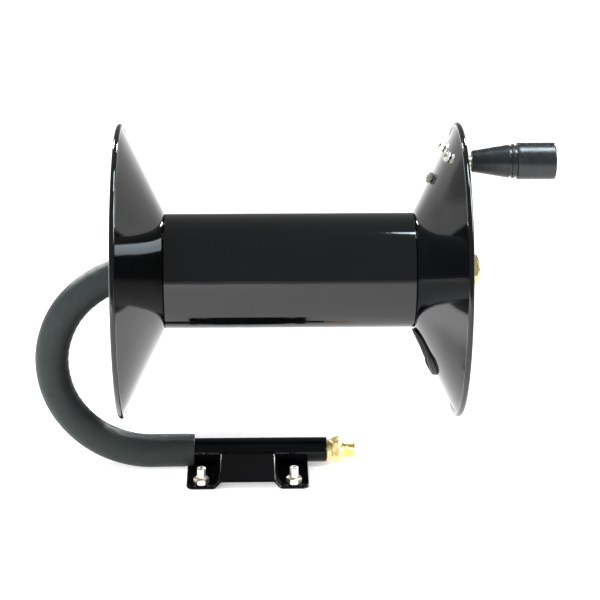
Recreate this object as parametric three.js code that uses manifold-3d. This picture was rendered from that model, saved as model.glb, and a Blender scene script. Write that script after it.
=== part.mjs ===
// Hand-cranked hose reel on a J-shaped pipe arm. Millimetres, +Z up, +X towards the crank.
// The origin is under the middle of the whole reel, in the plane of the base's underside.
// Inside the assembly, X counts from the middle of the drum.
import * as THREE from 'three';
import { mergeVertices } from 'three/addons/utils/BufferGeometryUtils.js';
import Module from 'manifold-3d';

const wasm = await Module();
wasm.setup();

// ---- driving dimensions ------------------------------------------------------------------
const GAP = 0.3;                    // clearance between any two touching pieces

const FLANGE_RADIUS = 153.8;        // a 12 in flange, over its rolled rim
const RIM_BEAD_RADIUS = 3;
const RIM_X = 174.5;                // middle of the rolled rim
const SHEET = 1.2;                  // steel of the drum and the flanges
const DRUM_RADIUS = 60;
const DRUM_HALF_LENGTH = 129;
const SPIGOT_DEPTH = 17;            // how far a flange's centre is set into the drum
const HUB_HOLE_RADIUS = 20;
const REEL_SIDES = 40;              // facets round the drum and the flanges

const PIPE_RADIUS = 13.335;         // 3/4 in pipe
const PIPE_BORE_RADIUS = 9.4;
const BEND_RADIUS = 103.5;
const BEND_X = -148;
const BEND_STEPS = 20;
const LOWER_LEG_END_X = 40.3;
const AXLE_END_X = 150;
const SLEEVE_RADIUS = 17.9;
const SLEEVE_LOWER_END_X = -102;
const SLEEVE_UPPER_END_X = -131;

const PLATE = { length: 130, front: 62, rear: 43, thickness: 3, centreX: -44.9, corner: 7 };
const SADDLE = { halfLength: 27, ramp: 10, raise: 7.5, crestRadius: 3 };
const STUD = { spacingX: 98, frontY: -52.3, rearY: 33, radius: 4.76, frontTop: 21.5, rearTop: 13.2 };
const STUD_HEAD = { radius: 6.6, height: 1.2 };
const BASE_NUT = { acrossFlats: 14.3, height: 6.6 };

const INLET = { spigotX: 25, neckX: 45.7, hexX: 54.4, endX: 70.6, acrossFlats: 23.8, turn: -21.6 };
const COLLAR = { radius: 21, width: 10 };
const WASHER_THICKNESS = 1.5;
const BUSHING = { barrel: 8.5, flangeRadius: 27, flange: 3 };
const BORE_RADIUS = PIPE_RADIUS + GAP + 0.05;

const TIE_ROD = { circleRadius: 42, radius: 3, count: 3, overhang: 8 };
const M6_NUT = { acrossFlats: 10, height: 5 };

const CRANK_RADIUS = 115;
const CRANK_ANGLE = -6.6;           // degrees from +Z, positive towards -Y
const BRACKET = { faceX: 182, sheet: 2.3, domeRadius: 16.5, domeCentre: 118, shoulder: 5 };
const BRACKET_SCREWS = [
  { radius: 127, angle: -12.3 },
  { radius: 127, angle: 12.3 },
  { radius: 97, angle: 0 },
];
const GRIP = { startX: 188, endX: 275, smallRadius: 11, taperRadius: 16.8, largeRadius: 19 };
const SPINDLE_RADIUS = 4;
const SPINDLE_NUT = { acrossFlats: 13, height: 7 };

const SLOT = { angle: 155, innerRadius: 65, outerRadius: 106, width: 29 };
const SWIVEL = { jointX: 158, bodyEndX: 187, capEndX: 197, endX: 199, acrossFlats: 27 };
const JOURNAL_RADIUS = 8;
const OUTLET_X = 169.5;

// ---- dimensions that follow --------------------------------------------------------------
const LOWER_LEG_Z = PLATE.thickness + GAP + PIPE_RADIUS;
const AXIS_Z = LOWER_LEG_Z + 2 * BEND_RADIUS;
const ARM_LEFT_X = BEND_X - BEND_RADIUS - SLEEVE_RADIUS;
const CENTRE_SHIFT_X = -(ARM_LEFT_X + GRIP.endX) / 2;
const NECK_X = DRUM_HALF_LENGTH + GAP;
const WEB_X = DRUM_HALF_LENGTH - SPIGOT_DEPTH;
const RIM_SHEET_RADIUS = FLANGE_RADIUS - RIM_BEAD_RADIUS;
const CONE_SLOPE = (RIM_X - SHEET / 2 - NECK_X) / (RIM_SHEET_RADIUS - DRUM_RADIUS);
const CONE_ANGLE = Math.atan(CONE_SLOPE);
const SHEET_ALONG_X = SHEET / Math.cos(CONE_ANGLE);
const BUSHING_FACE_X = WEB_X + SHEET + GAP + BUSHING.flange;
const WASHER_X = BUSHING_FACE_X + GAP;
const COLLAR_X = WASHER_X + WASHER_THICKNESS + GAP;

// ---- materials ---------------------------------------------------------------------------
const FINISHES = {
  enamel: { color: 0x0b0d0f, roughness: 0.18, metalness: 0.0 },
  foam: { color: 0x30383b, roughness: 0.85, metalness: 0.0 },
  brass: { color: 0xc9a04a, roughness: 0.3, metalness: 1.0 },
  zinc: { color: 0xbdb9ac, roughness: 0.4, metalness: 1.0 },
  rubber: { color: 0x16181a, roughness: 0.7, metalness: 0.0 },
  gripPlastic: { color: 0x15191b, roughness: 0.45, metalness: 0.0 },
  nylon: { color: 0xd9d6cc, roughness: 0.5, metalness: 0.0 },
};

function meshOf(name, geometry, finish) {
  const mesh = new THREE.Mesh(geometry, new THREE.MeshStandardMaterial(FINISHES[finish]));
  mesh.name = name;
  return mesh;
}

// ---- geometry helpers --------------------------------------------------------------------
const radians = THREE.MathUtils.degToRad;

// The same surface with merged vertices, no empty triangles and its faces pointing out.
function closed(geometry) {
  const bare = geometry.clone();
  bare.deleteAttribute('normal');
  bare.deleteAttribute('uv');
  const merged = mergeVertices(bare, 1e-4);
  const index = merged.index.array;
  const position = merged.attributes.position;
  const corners = [new THREE.Vector3(), new THREE.Vector3(), new THREE.Vector3()];
  const kept = [];
  let volume = 0;
  for (let i = 0; i < index.length; i += 3) {
    const triangle = [index[i], index[i + 1], index[i + 2]];
    if (new Set(triangle).size < 3) continue;
    kept.push(...triangle);
    corners.forEach((corner, k) => corner.fromBufferAttribute(position, triangle[k]));
    volume += corners[0].dot(corners[1].cross(corners[2]));
  }
  merged.setIndex(volume < 0 ? kept.reverse() : kept);
  return merged;
}

function solid(geometry) {
  const body = closed(geometry);
  return new wasm.Manifold(new wasm.Mesh({
    numProp: 3,
    vertProperties: new Float32Array(body.attributes.position.array),
    triVerts: new Uint32Array(body.index.array),
  }));
}

function geometryOf(manifold) {
  const mesh = manifold.getMesh();
  const geometry = new THREE.BufferGeometry();
  geometry.setAttribute('position', new THREE.BufferAttribute(mesh.vertProperties, 3));
  geometry.setIndex(new THREE.BufferAttribute(mesh.triVerts, 1));
  return geometry;
}

// A profile of [x, radius] points turned about the X axis.
function turned(profile, segments = 24) {
  const points = profile.map(([x, radius]) => new THREE.Vector2(radius, x));
  return closed(new THREE.LatheGeometry(points, segments).rotateZ(-Math.PI / 2));
}

function tube(startX, endX, innerRadius, outerRadius, segments = 24) {
  return turned([
    [startX, innerRadius], [startX, outerRadius], [endX, outerRadius], [endX, innerRadius],
    [startX, innerRadius],
  ], segments);
}

function rod(startX, endX, radius, segments = 16) {
  return turned([[startX, 0], [startX, radius], [endX, radius], [endX, 0]], segments);
}

// An outline drawn in (Y, Z), extruded along X.
function alongX(shape, startX, endX, curveSegments = 6) {
  const options = { depth: endX - startX, bevelEnabled: false, curveSegments };
  const axes = new THREE.Matrix4().makeBasis(
    new THREE.Vector3(0, 1, 0), new THREE.Vector3(0, 0, 1), new THREE.Vector3(1, 0, 0));
  return new THREE.ExtrudeGeometry(shape, options).applyMatrix4(axes).translate(startX, 0, 0);
}

function circle(radius, centreY = 0, centreZ = 0) {
  return new THREE.Shape().absarc(centreY, centreZ, radius, 0, 2 * Math.PI);
}

// A hexagon with a corner towards +Z.
function hexagon(acrossFlats, holeRadius = 0) {
  const corners = [];
  for (let i = 0; i < 6; i += 1) {
    const angle = Math.PI / 2 + i * Math.PI / 3;
    const radius = acrossFlats / Math.sqrt(3);
    corners.push(new THREE.Vector2(radius * Math.cos(angle), radius * Math.sin(angle)));
  }
  const shape = new THREE.Shape(corners);
  if (holeRadius > 0) shape.holes.push(circle(holeRadius));
  return shape;
}

function hexNut(startX, size, holeRadius) {
  return alongX(hexagon(size.acrossFlats, holeRadius), startX, startX + size.height);
}

// A slot shape with round ends, standing along Z.
function stadium(lowZ, highZ, width) {
  const radius = width / 2;
  return new THREE.Shape()
    .absarc(0, highZ - radius, radius, 0, Math.PI)
    .absarc(0, lowZ + radius, radius, Math.PI, 2 * Math.PI)
    .closePath();
}

// The outline round three equal circles.
function roundedTriangle(centres, radius) {
  const shape = new THREE.Shape();
  centres.forEach((centre, i) => {
    const before = centres[(i + 2) % 3];
    const after = centres[(i + 1) % 3];
    const startAngle = Math.atan2(centre.y - before.y, centre.x - before.x) - Math.PI / 2;
    const endAngle = Math.atan2(after.y - centre.y, after.x - centre.x) - Math.PI / 2;
    shape.absarc(centre.x, centre.y, radius, startAngle, endAngle);
  });
  return shape.closePath();
}

// A group whose +Z points away from the reel's axis, at an angle from the top towards -Y.
function spoke(angle, ...children) {
  const group = new THREE.Group();
  group.rotation.x = radians(angle);
  if (children.length) group.add(...children);
  return group;
}

// A group on the right flange's cone, with +X square to the sheet and away from the drum.
// Its X is 0 on the drum's side of the sheet.
function onCone(radius, ...children) {
  const group = new THREE.Group();
  group.position.set(coneX(radius), 0, radius);
  group.rotation.y = CONE_ANGLE;
  group.add(...children);
  return group;
}

// X of the right flange's cone on the drum's side.
function coneX(radius) {
  return NECK_X + (radius - DRUM_RADIUS) * CONE_SLOPE;
}

// A layer that follows the cone, between two distances along X from the drum's side of it.
function coneLayer(startX, endX, innerRadius, outerRadius) {
  return solid(turned([
    [coneX(innerRadius) + startX, innerRadius],
    [coneX(outerRadius) + startX, outerRadius],
    [coneX(outerRadius) + endX, outerRadius],
    [coneX(innerRadius) + endX, innerRadius],
    [coneX(innerRadius) + startX, innerRadius],
  ], 64));
}

// ---- arm ---------------------------------------------------------------------------------

// Lower leg, half-circle bend and upper leg. Its parameter gives one step to each leg and
// BEND_STEPS equal steps to the bend.
class ArmCentreline extends THREE.Curve {
  constructor(lowerX, upperX) {
    super();
    this.lowerX = lowerX;
    this.upperX = upperX;
  }

  getUtoTmapping(u) {
    return u;
  }

  getPoint(t, target = new THREE.Vector3()) {
    const step = t * (BEND_STEPS + 2);
    if (step < 1) {
      return target.set(THREE.MathUtils.lerp(this.lowerX, BEND_X, step), 0, LOWER_LEG_Z);
    }
    if (step > BEND_STEPS + 1) {
      const along = step - BEND_STEPS - 1;
      return target.set(THREE.MathUtils.lerp(BEND_X, this.upperX, along), 0, AXIS_Z);
    }
    const turn = Math.PI * (step - 1) / BEND_STEPS;
    return target.set(
      BEND_X - BEND_RADIUS * Math.sin(turn), 0,
      LOWER_LEG_Z + BEND_RADIUS * (1 - Math.cos(turn)));
  }
}

function alongArm(innerRadius, outerRadius, lowerX, upperX) {
  const section = circle(outerRadius);
  section.holes.push(circle(innerRadius));
  const extrudePath = new ArmCentreline(lowerX, upperX);
  return closed(new THREE.ExtrudeGeometry(section, {
    steps: BEND_STEPS + 2, curveSegments: 8, extrudePath,
  }));
}

function armPipe() {
  const geometry = alongArm(PIPE_BORE_RADIUS, PIPE_RADIUS, LOWER_LEG_END_X, AXLE_END_X);
  return meshOf('arm_pipe', geometry, 'enamel');
}

// The soft sleeve is pressed flat underneath, by the surface and by the edge of the plate.
function foamSleeve() {
  const sleeve = solid(alongArm(
    PIPE_RADIUS + GAP, SLEEVE_RADIUS, SLEEVE_LOWER_END_X, SLEEVE_UPPER_END_X));
  const below = (startX, topZ) => {
    const length = SLEEVE_LOWER_END_X + 10 - startX;
    return solid(new THREE.BoxGeometry(length, 60, 20)
      .translate(startX + length / 2, 0, topZ - 10));
  };
  const plateStartX = PLATE.centreX - PLATE.length / 2 - GAP;
  const pressed = sleeve
    .subtract(below(BEND_X - BEND_RADIUS, GAP))
    .subtract(below(plateStartX, PLATE.thickness + GAP));
  return meshOf('foam_sleeve', geometryOf(pressed), 'foam');
}

function inletFitting() {
  const threadRadius = 8.5;
  const turnedPart = solid(turned([
    [INLET.spigotX, 0],
    [INLET.spigotX, PIPE_BORE_RADIUS - GAP],
    [LOWER_LEG_END_X + GAP, PIPE_BORE_RADIUS - GAP],
    [LOWER_LEG_END_X + GAP, 10.6],
    [INLET.neckX - 1, 11.2],
    [INLET.hexX + 0.5, 11.2],
    [INLET.hexX + 3, threadRadius],
    [INLET.endX - 1, threadRadius],
    [INLET.endX, threadRadius - 1],
    [INLET.endX, 0],
  ]));
  const hex = solid(
    alongX(hexagon(INLET.acrossFlats), INLET.neckX, INLET.hexX).rotateX(radians(INLET.turn)));
  const bore = solid(rod(INLET.spigotX - 1, INLET.endX + 1, 5.5));
  const mesh = meshOf('inlet_fitting', geometryOf(turnedPart.add(hex).subtract(bore)), 'brass');
  mesh.position.z = LOWER_LEG_Z;
  return mesh;
}

// ---- base --------------------------------------------------------------------------------

// Half of the saddle's section in (Y, Z), along the middle of the sheet: under the pipe, up
// its flank, over the crest and straight down to the raised edge, halfWidth from the middle.
function saddleSection(halfWidth) {
  const hugRadius = PIPE_RADIUS + GAP + PLATE.thickness / 2;
  const hugEnd = radians(-2);
  const crestY = (hugRadius + SADDLE.crestRadius) * Math.cos(hugEnd);
  const crestZ = LOWER_LEG_Z + (hugRadius + SADDLE.crestRadius) * Math.sin(hugEnd);
  const edgeZ = PLATE.thickness / 2 + SADDLE.raise;
  const acrossY = halfWidth - crestY;
  const dropZ = crestZ - edgeZ;
  const slope = Math.atan2(dropZ, acrossY)
    + Math.asin(SADDLE.crestRadius / Math.hypot(acrossY, dropZ));
  return new THREE.Path()
    .absarc(0, LOWER_LEG_Z, hugRadius, -Math.PI / 2, hugEnd)
    .absarc(crestY, crestZ, SADDLE.crestRadius, Math.PI + hugEnd, Math.PI / 2 - slope, true)
    .lineTo(halfWidth, edgeZ);
}

// The plate as a box whose rows follow the section and whose columns blend from flat pads
// to the saddle and back.
function pressedPlate() {
  const sections = { front: saddleSection(PLATE.front), rear: saddleSection(PLATE.rear) };
  const ramp = [1, 0.7, 0.3, 0].map((part) => SADDLE.halfLength + part * SADDLE.ramp);
  const halfColumns = [PLATE.length / 2, 50, ...ramp, 9];
  const columns = [...halfColumns.map((x) => -x), ...halfColumns.reverse()];
  const rows = 36;
  const box = new THREE.BoxGeometry(
    columns.length - 1, 2, 2, columns.length - 1, rows, 1);
  const position = box.attributes.position;
  const middleLine = (part, blend) => {
    const side = part < 0 ? 'front' : 'rear';
    const reach = Math.min(Math.abs(part), 1);
    const raised = sections[side].getPointAt(reach);
    const y = THREE.MathUtils.lerp(reach * PLATE[side], raised.x, blend);
    const z = THREE.MathUtils.lerp(PLATE.thickness / 2, raised.y, blend);
    return new THREE.Vector2(Math.sign(part) * y, z);
  };
  for (let i = 0; i < position.count; i += 1) {
    const column = Math.round(position.getX(i) + (columns.length - 1) / 2);
    const x = columns[column];
    const blend = 1 - THREE.MathUtils.smoothstep(
      Math.abs(x), SADDLE.halfLength, SADDLE.halfLength + SADDLE.ramp);
    const part = position.getY(i);
    const step = 1 / rows;
    const point = middleLine(part, blend);
    const before = middleLine(Math.max(part - step, -1), blend);
    const after = middleLine(Math.min(part + step, 1), blend);
    const along = after.sub(before).normalize();
    const side = position.getZ(i) * PLATE.thickness / 2;
    position.setXYZ(i, x, point.x - side * along.y, point.y + side * along.x);
  }
  return box;
}

// Each stud's X, Y and upper end. The rear ones end level with their nuts.
function studPlaces() {
  const reach = STUD.spacingX / 2;
  return [
    [-reach, STUD.frontY, STUD.frontTop],
    [reach, STUD.frontY, STUD.frontTop],
    [reach, STUD.rearY, STUD.rearTop],
    [-reach, STUD.rearY, STUD.rearTop],
  ];
}

// Turns a piece made along +X to stand along +Z.
function upright(mesh, x, y, z = 0) {
  mesh.rotation.y = -Math.PI / 2;
  mesh.position.set(x, y, z);
  return mesh;
}

function baseBracket() {
  const { length, front, rear, thickness, corner } = PLATE;
  const outline = new THREE.Shape()
    .absarc(length / 2 - corner, rear - corner, corner, 0, Math.PI / 2)
    .absarc(corner - length / 2, rear - corner, corner, Math.PI / 2, Math.PI)
    .absarc(corner - length / 2, corner - front, corner, Math.PI, 1.5 * Math.PI)
    .absarc(length / 2 - corner, corner - front, corner, 1.5 * Math.PI, 2 * Math.PI)
    .closePath();
  const prism = new THREE.ExtrudeGeometry(outline, {
    depth: 60, bevelEnabled: false, curveSegments: 5,
  }).translate(0, 0, -10);
  let plate = solid(pressedPlate()).intersect(solid(prism));
  for (const [x, y] of studPlaces()) {
    const hole = rod(-1, thickness + 1, STUD.radius + GAP + 0.05).rotateY(-Math.PI / 2);
    const recess = rod(-1, STUD_HEAD.height + GAP, STUD_HEAD.radius + GAP + 0.05)
      .rotateY(-Math.PI / 2);
    plate = plate.subtract(solid(hole.translate(x, y, 0)));
    plate = plate.subtract(solid(recess.translate(x, y, 0)));
  }
  return meshOf('base_bracket', geometryOf(plate), 'enamel');
}

function baseStud(name, top) {
  return meshOf(name, turned([
    [0, 0],
    [0, STUD_HEAD.radius],
    [STUD_HEAD.height, STUD_HEAD.radius],
    [STUD_HEAD.height, STUD.radius],
    [top - 1, STUD.radius],
    [top, STUD.radius - 0.9],
    [top, 2.2],
    [top - 0.8, 1.6],
    [top - 0.8, 0],
  ], 16), 'zinc');
}

function base() {
  const group = new THREE.Group();
  group.position.x = PLATE.centreX;
  group.add(baseBracket());
  studPlaces().forEach(([x, y, top], i) => {
    const nut = hexNut(PLATE.thickness + GAP, BASE_NUT, STUD.radius + GAP + 0.05);
    group.add(upright(baseStud(`base_stud_${i + 1}`, top), x, y));
    group.add(upright(meshOf(`base_nut_${i + 1}`, nut, 'zinc'), x, y));
  });
  return group;
}

// ---- axle fittings that stand still --------------------------------------------------------

// Thrust washer, clamping collar and its set screw. Made for the right end of the drum.
function axleStop(side) {
  const screwRadius = 2.6;
  const group = new THREE.Group();
  const washer = tube(WASHER_X, WASHER_X + WASHER_THICKNESS, BORE_RADIUS, 24);
  const collarRing = solid(tube(COLLAR_X, COLLAR_X + COLLAR.width, BORE_RADIUS, COLLAR.radius));
  const middle = COLLAR_X + COLLAR.width / 2;
  const screwHole = solid(
    rod(0, COLLAR.radius + 5, screwRadius + GAP).rotateY(-Math.PI / 2).translate(middle, 0, 0));
  const screw = rod(PIPE_RADIUS + GAP, COLLAR.radius - 0.6, screwRadius, 16);
  group.add(
    meshOf(`thrust_washer_${side}`, washer, 'zinc'),
    meshOf(`axle_collar_${side}`, geometryOf(collarRing.subtract(screwHole)), 'zinc'),
    upright(meshOf(`collar_set_screw_${side}`, screw, 'zinc'), middle, 0));
  return group;
}

// The still half of the swivel: screwed into the axle's end, with grooves for two seals.
function swivelStem() {
  const groove = { radius: 6.4, width: 2.6 };
  const journalEnd = SWIVEL.bodyEndX - 3.5;
  const profile = [
    [AXLE_END_X - 14, 0],
    [AXLE_END_X - 14, PIPE_BORE_RADIUS - GAP],
    [AXLE_END_X + GAP, PIPE_BORE_RADIUS - GAP],
    [AXLE_END_X + GAP, 12],
    [SWIVEL.jointX - GAP, 12],
    [SWIVEL.jointX - GAP, JOURNAL_RADIUS],
  ];
  for (const x of sealPlaces()) {
    profile.push(
      [x - groove.width / 2, JOURNAL_RADIUS], [x - groove.width / 2, groove.radius],
      [x + groove.width / 2, groove.radius], [x + groove.width / 2, JOURNAL_RADIUS]);
  }
  profile.push([journalEnd, JOURNAL_RADIUS], [journalEnd, 0]);
  const hex = solid(alongX(hexagon(25.4), AXLE_END_X + GAP, SWIVEL.jointX - GAP));
  const bore = solid(rod(AXLE_END_X - 15, journalEnd + 1, 4.8));
  const port = solid(rod(-20, 20, 2.5).rotateY(Math.PI / 2).translate(OUTLET_X, 0, 0));
  const stem = solid(turned(profile)).add(hex).subtract(bore).subtract(port);
  return meshOf('swivel_stem', geometryOf(stem), 'brass');
}

function sealPlaces() {
  return [OUTLET_X - 6, OUTLET_X + 6];
}

// ---- reel: everything that the crank turns -------------------------------------------------

function drum() {
  const geometry = tube(
    -DRUM_HALF_LENGTH, DRUM_HALF_LENGTH, DRUM_RADIUS - SHEET, DRUM_RADIUS, REEL_SIDES);
  return meshOf('drum', geometry, 'enamel');
}

// A pressed pan: flat centre set into the drum, cone, and rolled rim.
function flangePan() {
  const spigotRadius = DRUM_RADIUS - SHEET - GAP;
  const corner = 2;
  const profile = [
    [WEB_X, HUB_HOLE_RADIUS],
    [WEB_X, spigotRadius - corner],
    [WEB_X + corner, spigotRadius],
    [NECK_X, spigotRadius],
    [NECK_X, DRUM_RADIUS],
  ];
  const start = Math.asin(SHEET / 2 / RIM_BEAD_RADIUS);
  const arcSteps = 6;
  for (let i = 0; i <= arcSteps; i += 1) {
    const turn = start + (2 * Math.PI - 2 * start) * i / arcSteps;
    const along = -RIM_BEAD_RADIUS * Math.cos(turn);
    const across = -RIM_BEAD_RADIUS * Math.sin(turn);
    profile.push([
      RIM_X + along * Math.sin(CONE_ANGLE) + across * Math.cos(CONE_ANGLE),
      RIM_SHEET_RADIUS + along * Math.cos(CONE_ANGLE) - across * Math.sin(CONE_ANGLE),
    ]);
  }
  profile.push(
    [NECK_X + SHEET_ALONG_X, DRUM_RADIUS],
    [NECK_X, spigotRadius - SHEET],
    [WEB_X + corner + SHEET / 2, spigotRadius - SHEET],
    [WEB_X + SHEET, spigotRadius - corner - SHEET / 2],
    [WEB_X + SHEET, HUB_HOLE_RADIUS],
    [WEB_X, HUB_HOLE_RADIUS]);
  let pan = solid(turned(profile, REEL_SIDES));
  for (let i = 0; i < TIE_ROD.count; i += 1) {
    const hole = rod(WEB_X - 5, WEB_X + 5, TIE_ROD.radius + GAP + 0.05, 16)
      .translate(0, 0, TIE_ROD.circleRadius)
      .rotateX(radians(tieRodAngle(i)));
    pan = pan.subtract(solid(hole));
  }
  return pan;
}

function tieRodAngle(i) {
  return 60 + i * 360 / TIE_ROD.count;
}

function leftFlange() {
  return meshOf('flange_left', geometryOf(flangePan()), 'enamel');
}

function rightFlange() {
  let pan = flangePan();
  const { innerRadius, outerRadius, width, angle } = SLOT;
  const slot = alongX(stadium(innerRadius, outerRadius, width), NECK_X - 8, RIM_X + 10);
  pan = pan.subtract(solid(slot.rotateX(radians(angle))));
  for (const screw of BRACKET_SCREWS) {
    const hole = rod(-5, 6, 3.3, 16)
      .rotateY(CONE_ANGLE)
      .translate(coneX(screw.radius), 0, screw.radius)
      .rotateX(radians(CRANK_ANGLE + screw.angle));
    pan = pan.subtract(solid(hole));
  }
  return meshOf('flange_right', geometryOf(pan), 'enamel');
}

// Flanged bush in a flange's hub hole. Made for the right end of the drum.
function hubBushing(side) {
  const webFace = WEB_X + SHEET + GAP;
  const barrelRadius = HUB_HOLE_RADIUS - GAP;
  return meshOf(`hub_bushing_${side}`, turned([
    [webFace - BUSHING.barrel, BORE_RADIUS],
    [webFace - BUSHING.barrel, barrelRadius],
    [webFace, barrelRadius],
    [webFace, BUSHING.flangeRadius],
    [BUSHING_FACE_X, BUSHING.flangeRadius],
    [BUSHING_FACE_X, BORE_RADIUS],
    [webFace - BUSHING.barrel, BORE_RADIUS],
  ]), 'nylon');
}

function tieRods() {
  const group = new THREE.Group();
  const halfLength = WEB_X + SHEET + TIE_ROD.overhang;
  for (let i = 0; i < TIE_ROD.count; i += 1) {
    const number = i + 1;
    const place = spoke(tieRodAngle(i));
    const pieces = [
      meshOf(`tie_rod_${number}`, rod(-halfLength, halfLength, TIE_ROD.radius, 16), 'zinc'),
      meshOf(`tie_rod_nut_right_${number}`,
        hexNut(WEB_X + SHEET + GAP, M6_NUT, TIE_ROD.radius + GAP + 0.05), 'zinc'),
      meshOf(`tie_rod_nut_left_${number}`,
        hexNut(-WEB_X - SHEET - GAP - M6_NUT.height, M6_NUT, TIE_ROD.radius + GAP + 0.05),
        'zinc'),
    ];
    pieces.forEach((piece) => { piece.position.z = TIE_ROD.circleRadius; });
    place.add(...pieces);
    group.add(place);
  }
  return group;
}

// The swivel's turning half, and the fitting that the hose screws onto, towards the slot.
function swivel() {
  const boreRadius = JOURNAL_RADIUS + GAP + 0.05;
  const bossRadius = 9.5;
  const portRadius = 6.5;
  const bossEnd = 19;
  const hex = solid(alongX(hexagon(SWIVEL.acrossFlats), SWIVEL.jointX, SWIVEL.bodyEndX));
  const boss = solid(rod(0, bossEnd, bossRadius).rotateY(-Math.PI / 2).translate(OUTLET_X, 0, 0));
  const bore = solid(rod(SWIVEL.jointX - 1, SWIVEL.bodyEndX + 1, boreRadius, 24));
  const port = solid(
    rod(0, bossEnd + 1, portRadius).rotateY(-Math.PI / 2).translate(OUTLET_X, 0, 0));
  const body = hex.add(boss).subtract(bore).subtract(port);

  const capStart = SWIVEL.bodyEndX + GAP;
  const capHex = solid(alongX(hexagon(SWIVEL.acrossFlats), capStart, SWIVEL.capEndX));
  const capTurned = solid(turned([
    [SWIVEL.bodyEndX - 3, 0],
    [SWIVEL.bodyEndX - 3, boreRadius - GAP - 0.05],
    [capStart + 1, boreRadius - GAP - 0.05],
    [capStart + 1, 10.5],
    [SWIVEL.endX - 0.8, 10.5],
    [SWIVEL.endX, 9.7],
    [SWIVEL.endX, 0],
  ]));

  const group = spoke(
    SLOT.angle,
    meshOf('swivel_body', geometryOf(body), 'brass'),
    meshOf('swivel_cap', geometryOf(capHex.add(capTurned)), 'brass'),
    outletNipple(portRadius - GAP, bossEnd + GAP));
  sealPlaces().forEach((x, i) => {
    const seal = tube(x - 1, x + 1, 6.75, JOURNAL_RADIUS + 0.1, 16);
    group.add(meshOf(`swivel_seal_${i + 1}`, seal, 'rubber'));
  });
  return group;
}

function outletNipple(shankRadius, shoulder) {
  const hexEnd = shoulder + 7;
  const end = shoulder + 22;
  const threadRadius = 8.3;
  const start = JOURNAL_RADIUS + 1.5;
  const turnedPart = solid(turned([
    [start, 0],
    [start, shankRadius],
    [shoulder + 1, shankRadius],
    [shoulder + 1, threadRadius],
    [end - 1, threadRadius],
    [end, threadRadius - 1],
    [end, 0],
  ]));
  const hex = solid(alongX(hexagon(19), shoulder, hexEnd));
  const bore = solid(rod(start - 1, end + 1, 4.5));
  const nipple = meshOf(
    'outlet_nipple', geometryOf(turnedPart.add(hex).subtract(bore)), 'brass');
  return upright(nipple, OUTLET_X, 0);
}

// Rubber edging of the hose slot, with a thicker lip at its outer end on the drum's side.
function hoseGrommet() {
  const { innerRadius, outerRadius, width, angle } = SLOT;
  const lip = 4;
  const wall = 3;
  const lipThickness = 2.6;
  const bulge = 5.5;
  const start = NECK_X - 12;
  const end = RIM_X + 12;
  const prism = (grow) => solid(
    alongX(stadium(innerRadius - grow, outerRadius + grow, width + 2 * grow), start, end));
  const inLayers = (low, high) => coneLayer(low, high, 55, 118).intersect(
    solid(alongX(circle(60, 0, 100), start, end)));
  const recessSide = SHEET_ALONG_X + GAP;
  const core = prism(-GAP).intersect(inLayers(-GAP - lipThickness, recessSide + lipThickness));
  const drumLip = prism(lip).intersect(inLayers(-GAP - lipThickness, -GAP));
  const recessLip = prism(lip).intersect(inLayers(recessSide, recessSide + lipThickness));
  const outerHalf = solid(alongX(circle(24, 0, outerRadius + 4), start, end));
  const bulgingLip = prism(lip).intersect(inLayers(-GAP - bulge, -GAP)).intersect(outerHalf);
  const clearOfDrum = solid(rod(start - 2, end + 2, DRUM_RADIUS + GAP + 0.2, REEL_SIDES));
  const edging = core.add(drumLip).add(recessLip).add(bulgingLip)
    .subtract(prism(-GAP - wall)).subtract(clearOfDrum);
  return spoke(angle, meshOf('hose_grommet', geometryOf(edging), 'rubber'));
}

// ---- crank -------------------------------------------------------------------------------

// A pressed bracket: a three-eared foot that follows the cone, and a dome for the spindle.
function handleBracket() {
  const { faceX, sheet, domeRadius, domeCentre, shoulder } = BRACKET;
  const footStart = SHEET_ALONG_X + GAP;
  const footEnd = footStart + sheet;
  const start = coneX(80);
  const ears = BRACKET_SCREWS.map(({ radius, angle }) => new THREE.Vector2(
    -radius * Math.sin(radians(angle)), radius * Math.cos(radians(angle))));
  const outline = roundedTriangle([ears[1], ears[2], ears[0]], 8.5);
  const foot = coneLayer(footStart, footEnd, 80, 145)
    .intersect(solid(alongX(outline, start, faceX + 5)));
  const domeProfile = (radius, top) => solid(turned([
    [start, 0],
    [start, radius],
    [top - shoulder, radius],
    [top - shoulder * 0.5, radius - shoulder * 0.13],
    [top - shoulder * 0.13, radius - shoulder * 0.5],
    [top, radius - shoulder],
    [top, 0],
  ]).translate(0, 0, domeCentre));
  const aboveCone = coneLayer(footStart, faceX, 80, 145);
  const outside = domeProfile(domeRadius, faceX).intersect(aboveCone);
  const inside = domeProfile(domeRadius - sheet, faceX - sheet);
  const spindleHole = solid(
    rod(faceX - 20, faceX + 5, SPINDLE_RADIUS + GAP + 0.05).translate(0, 0, CRANK_RADIUS));
  let bracket = foot.add(outside).subtract(inside).subtract(spindleHole);
  for (const screw of BRACKET_SCREWS) {
    const hole = rod(-5, 12, 3.3, 16)
      .rotateY(CONE_ANGLE)
      .translate(coneX(screw.radius), 0, screw.radius)
      .rotateX(radians(screw.angle));
    bracket = bracket.subtract(solid(hole));
  }
  return meshOf('handle_bracket', geometryOf(bracket), 'zinc');
}

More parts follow.
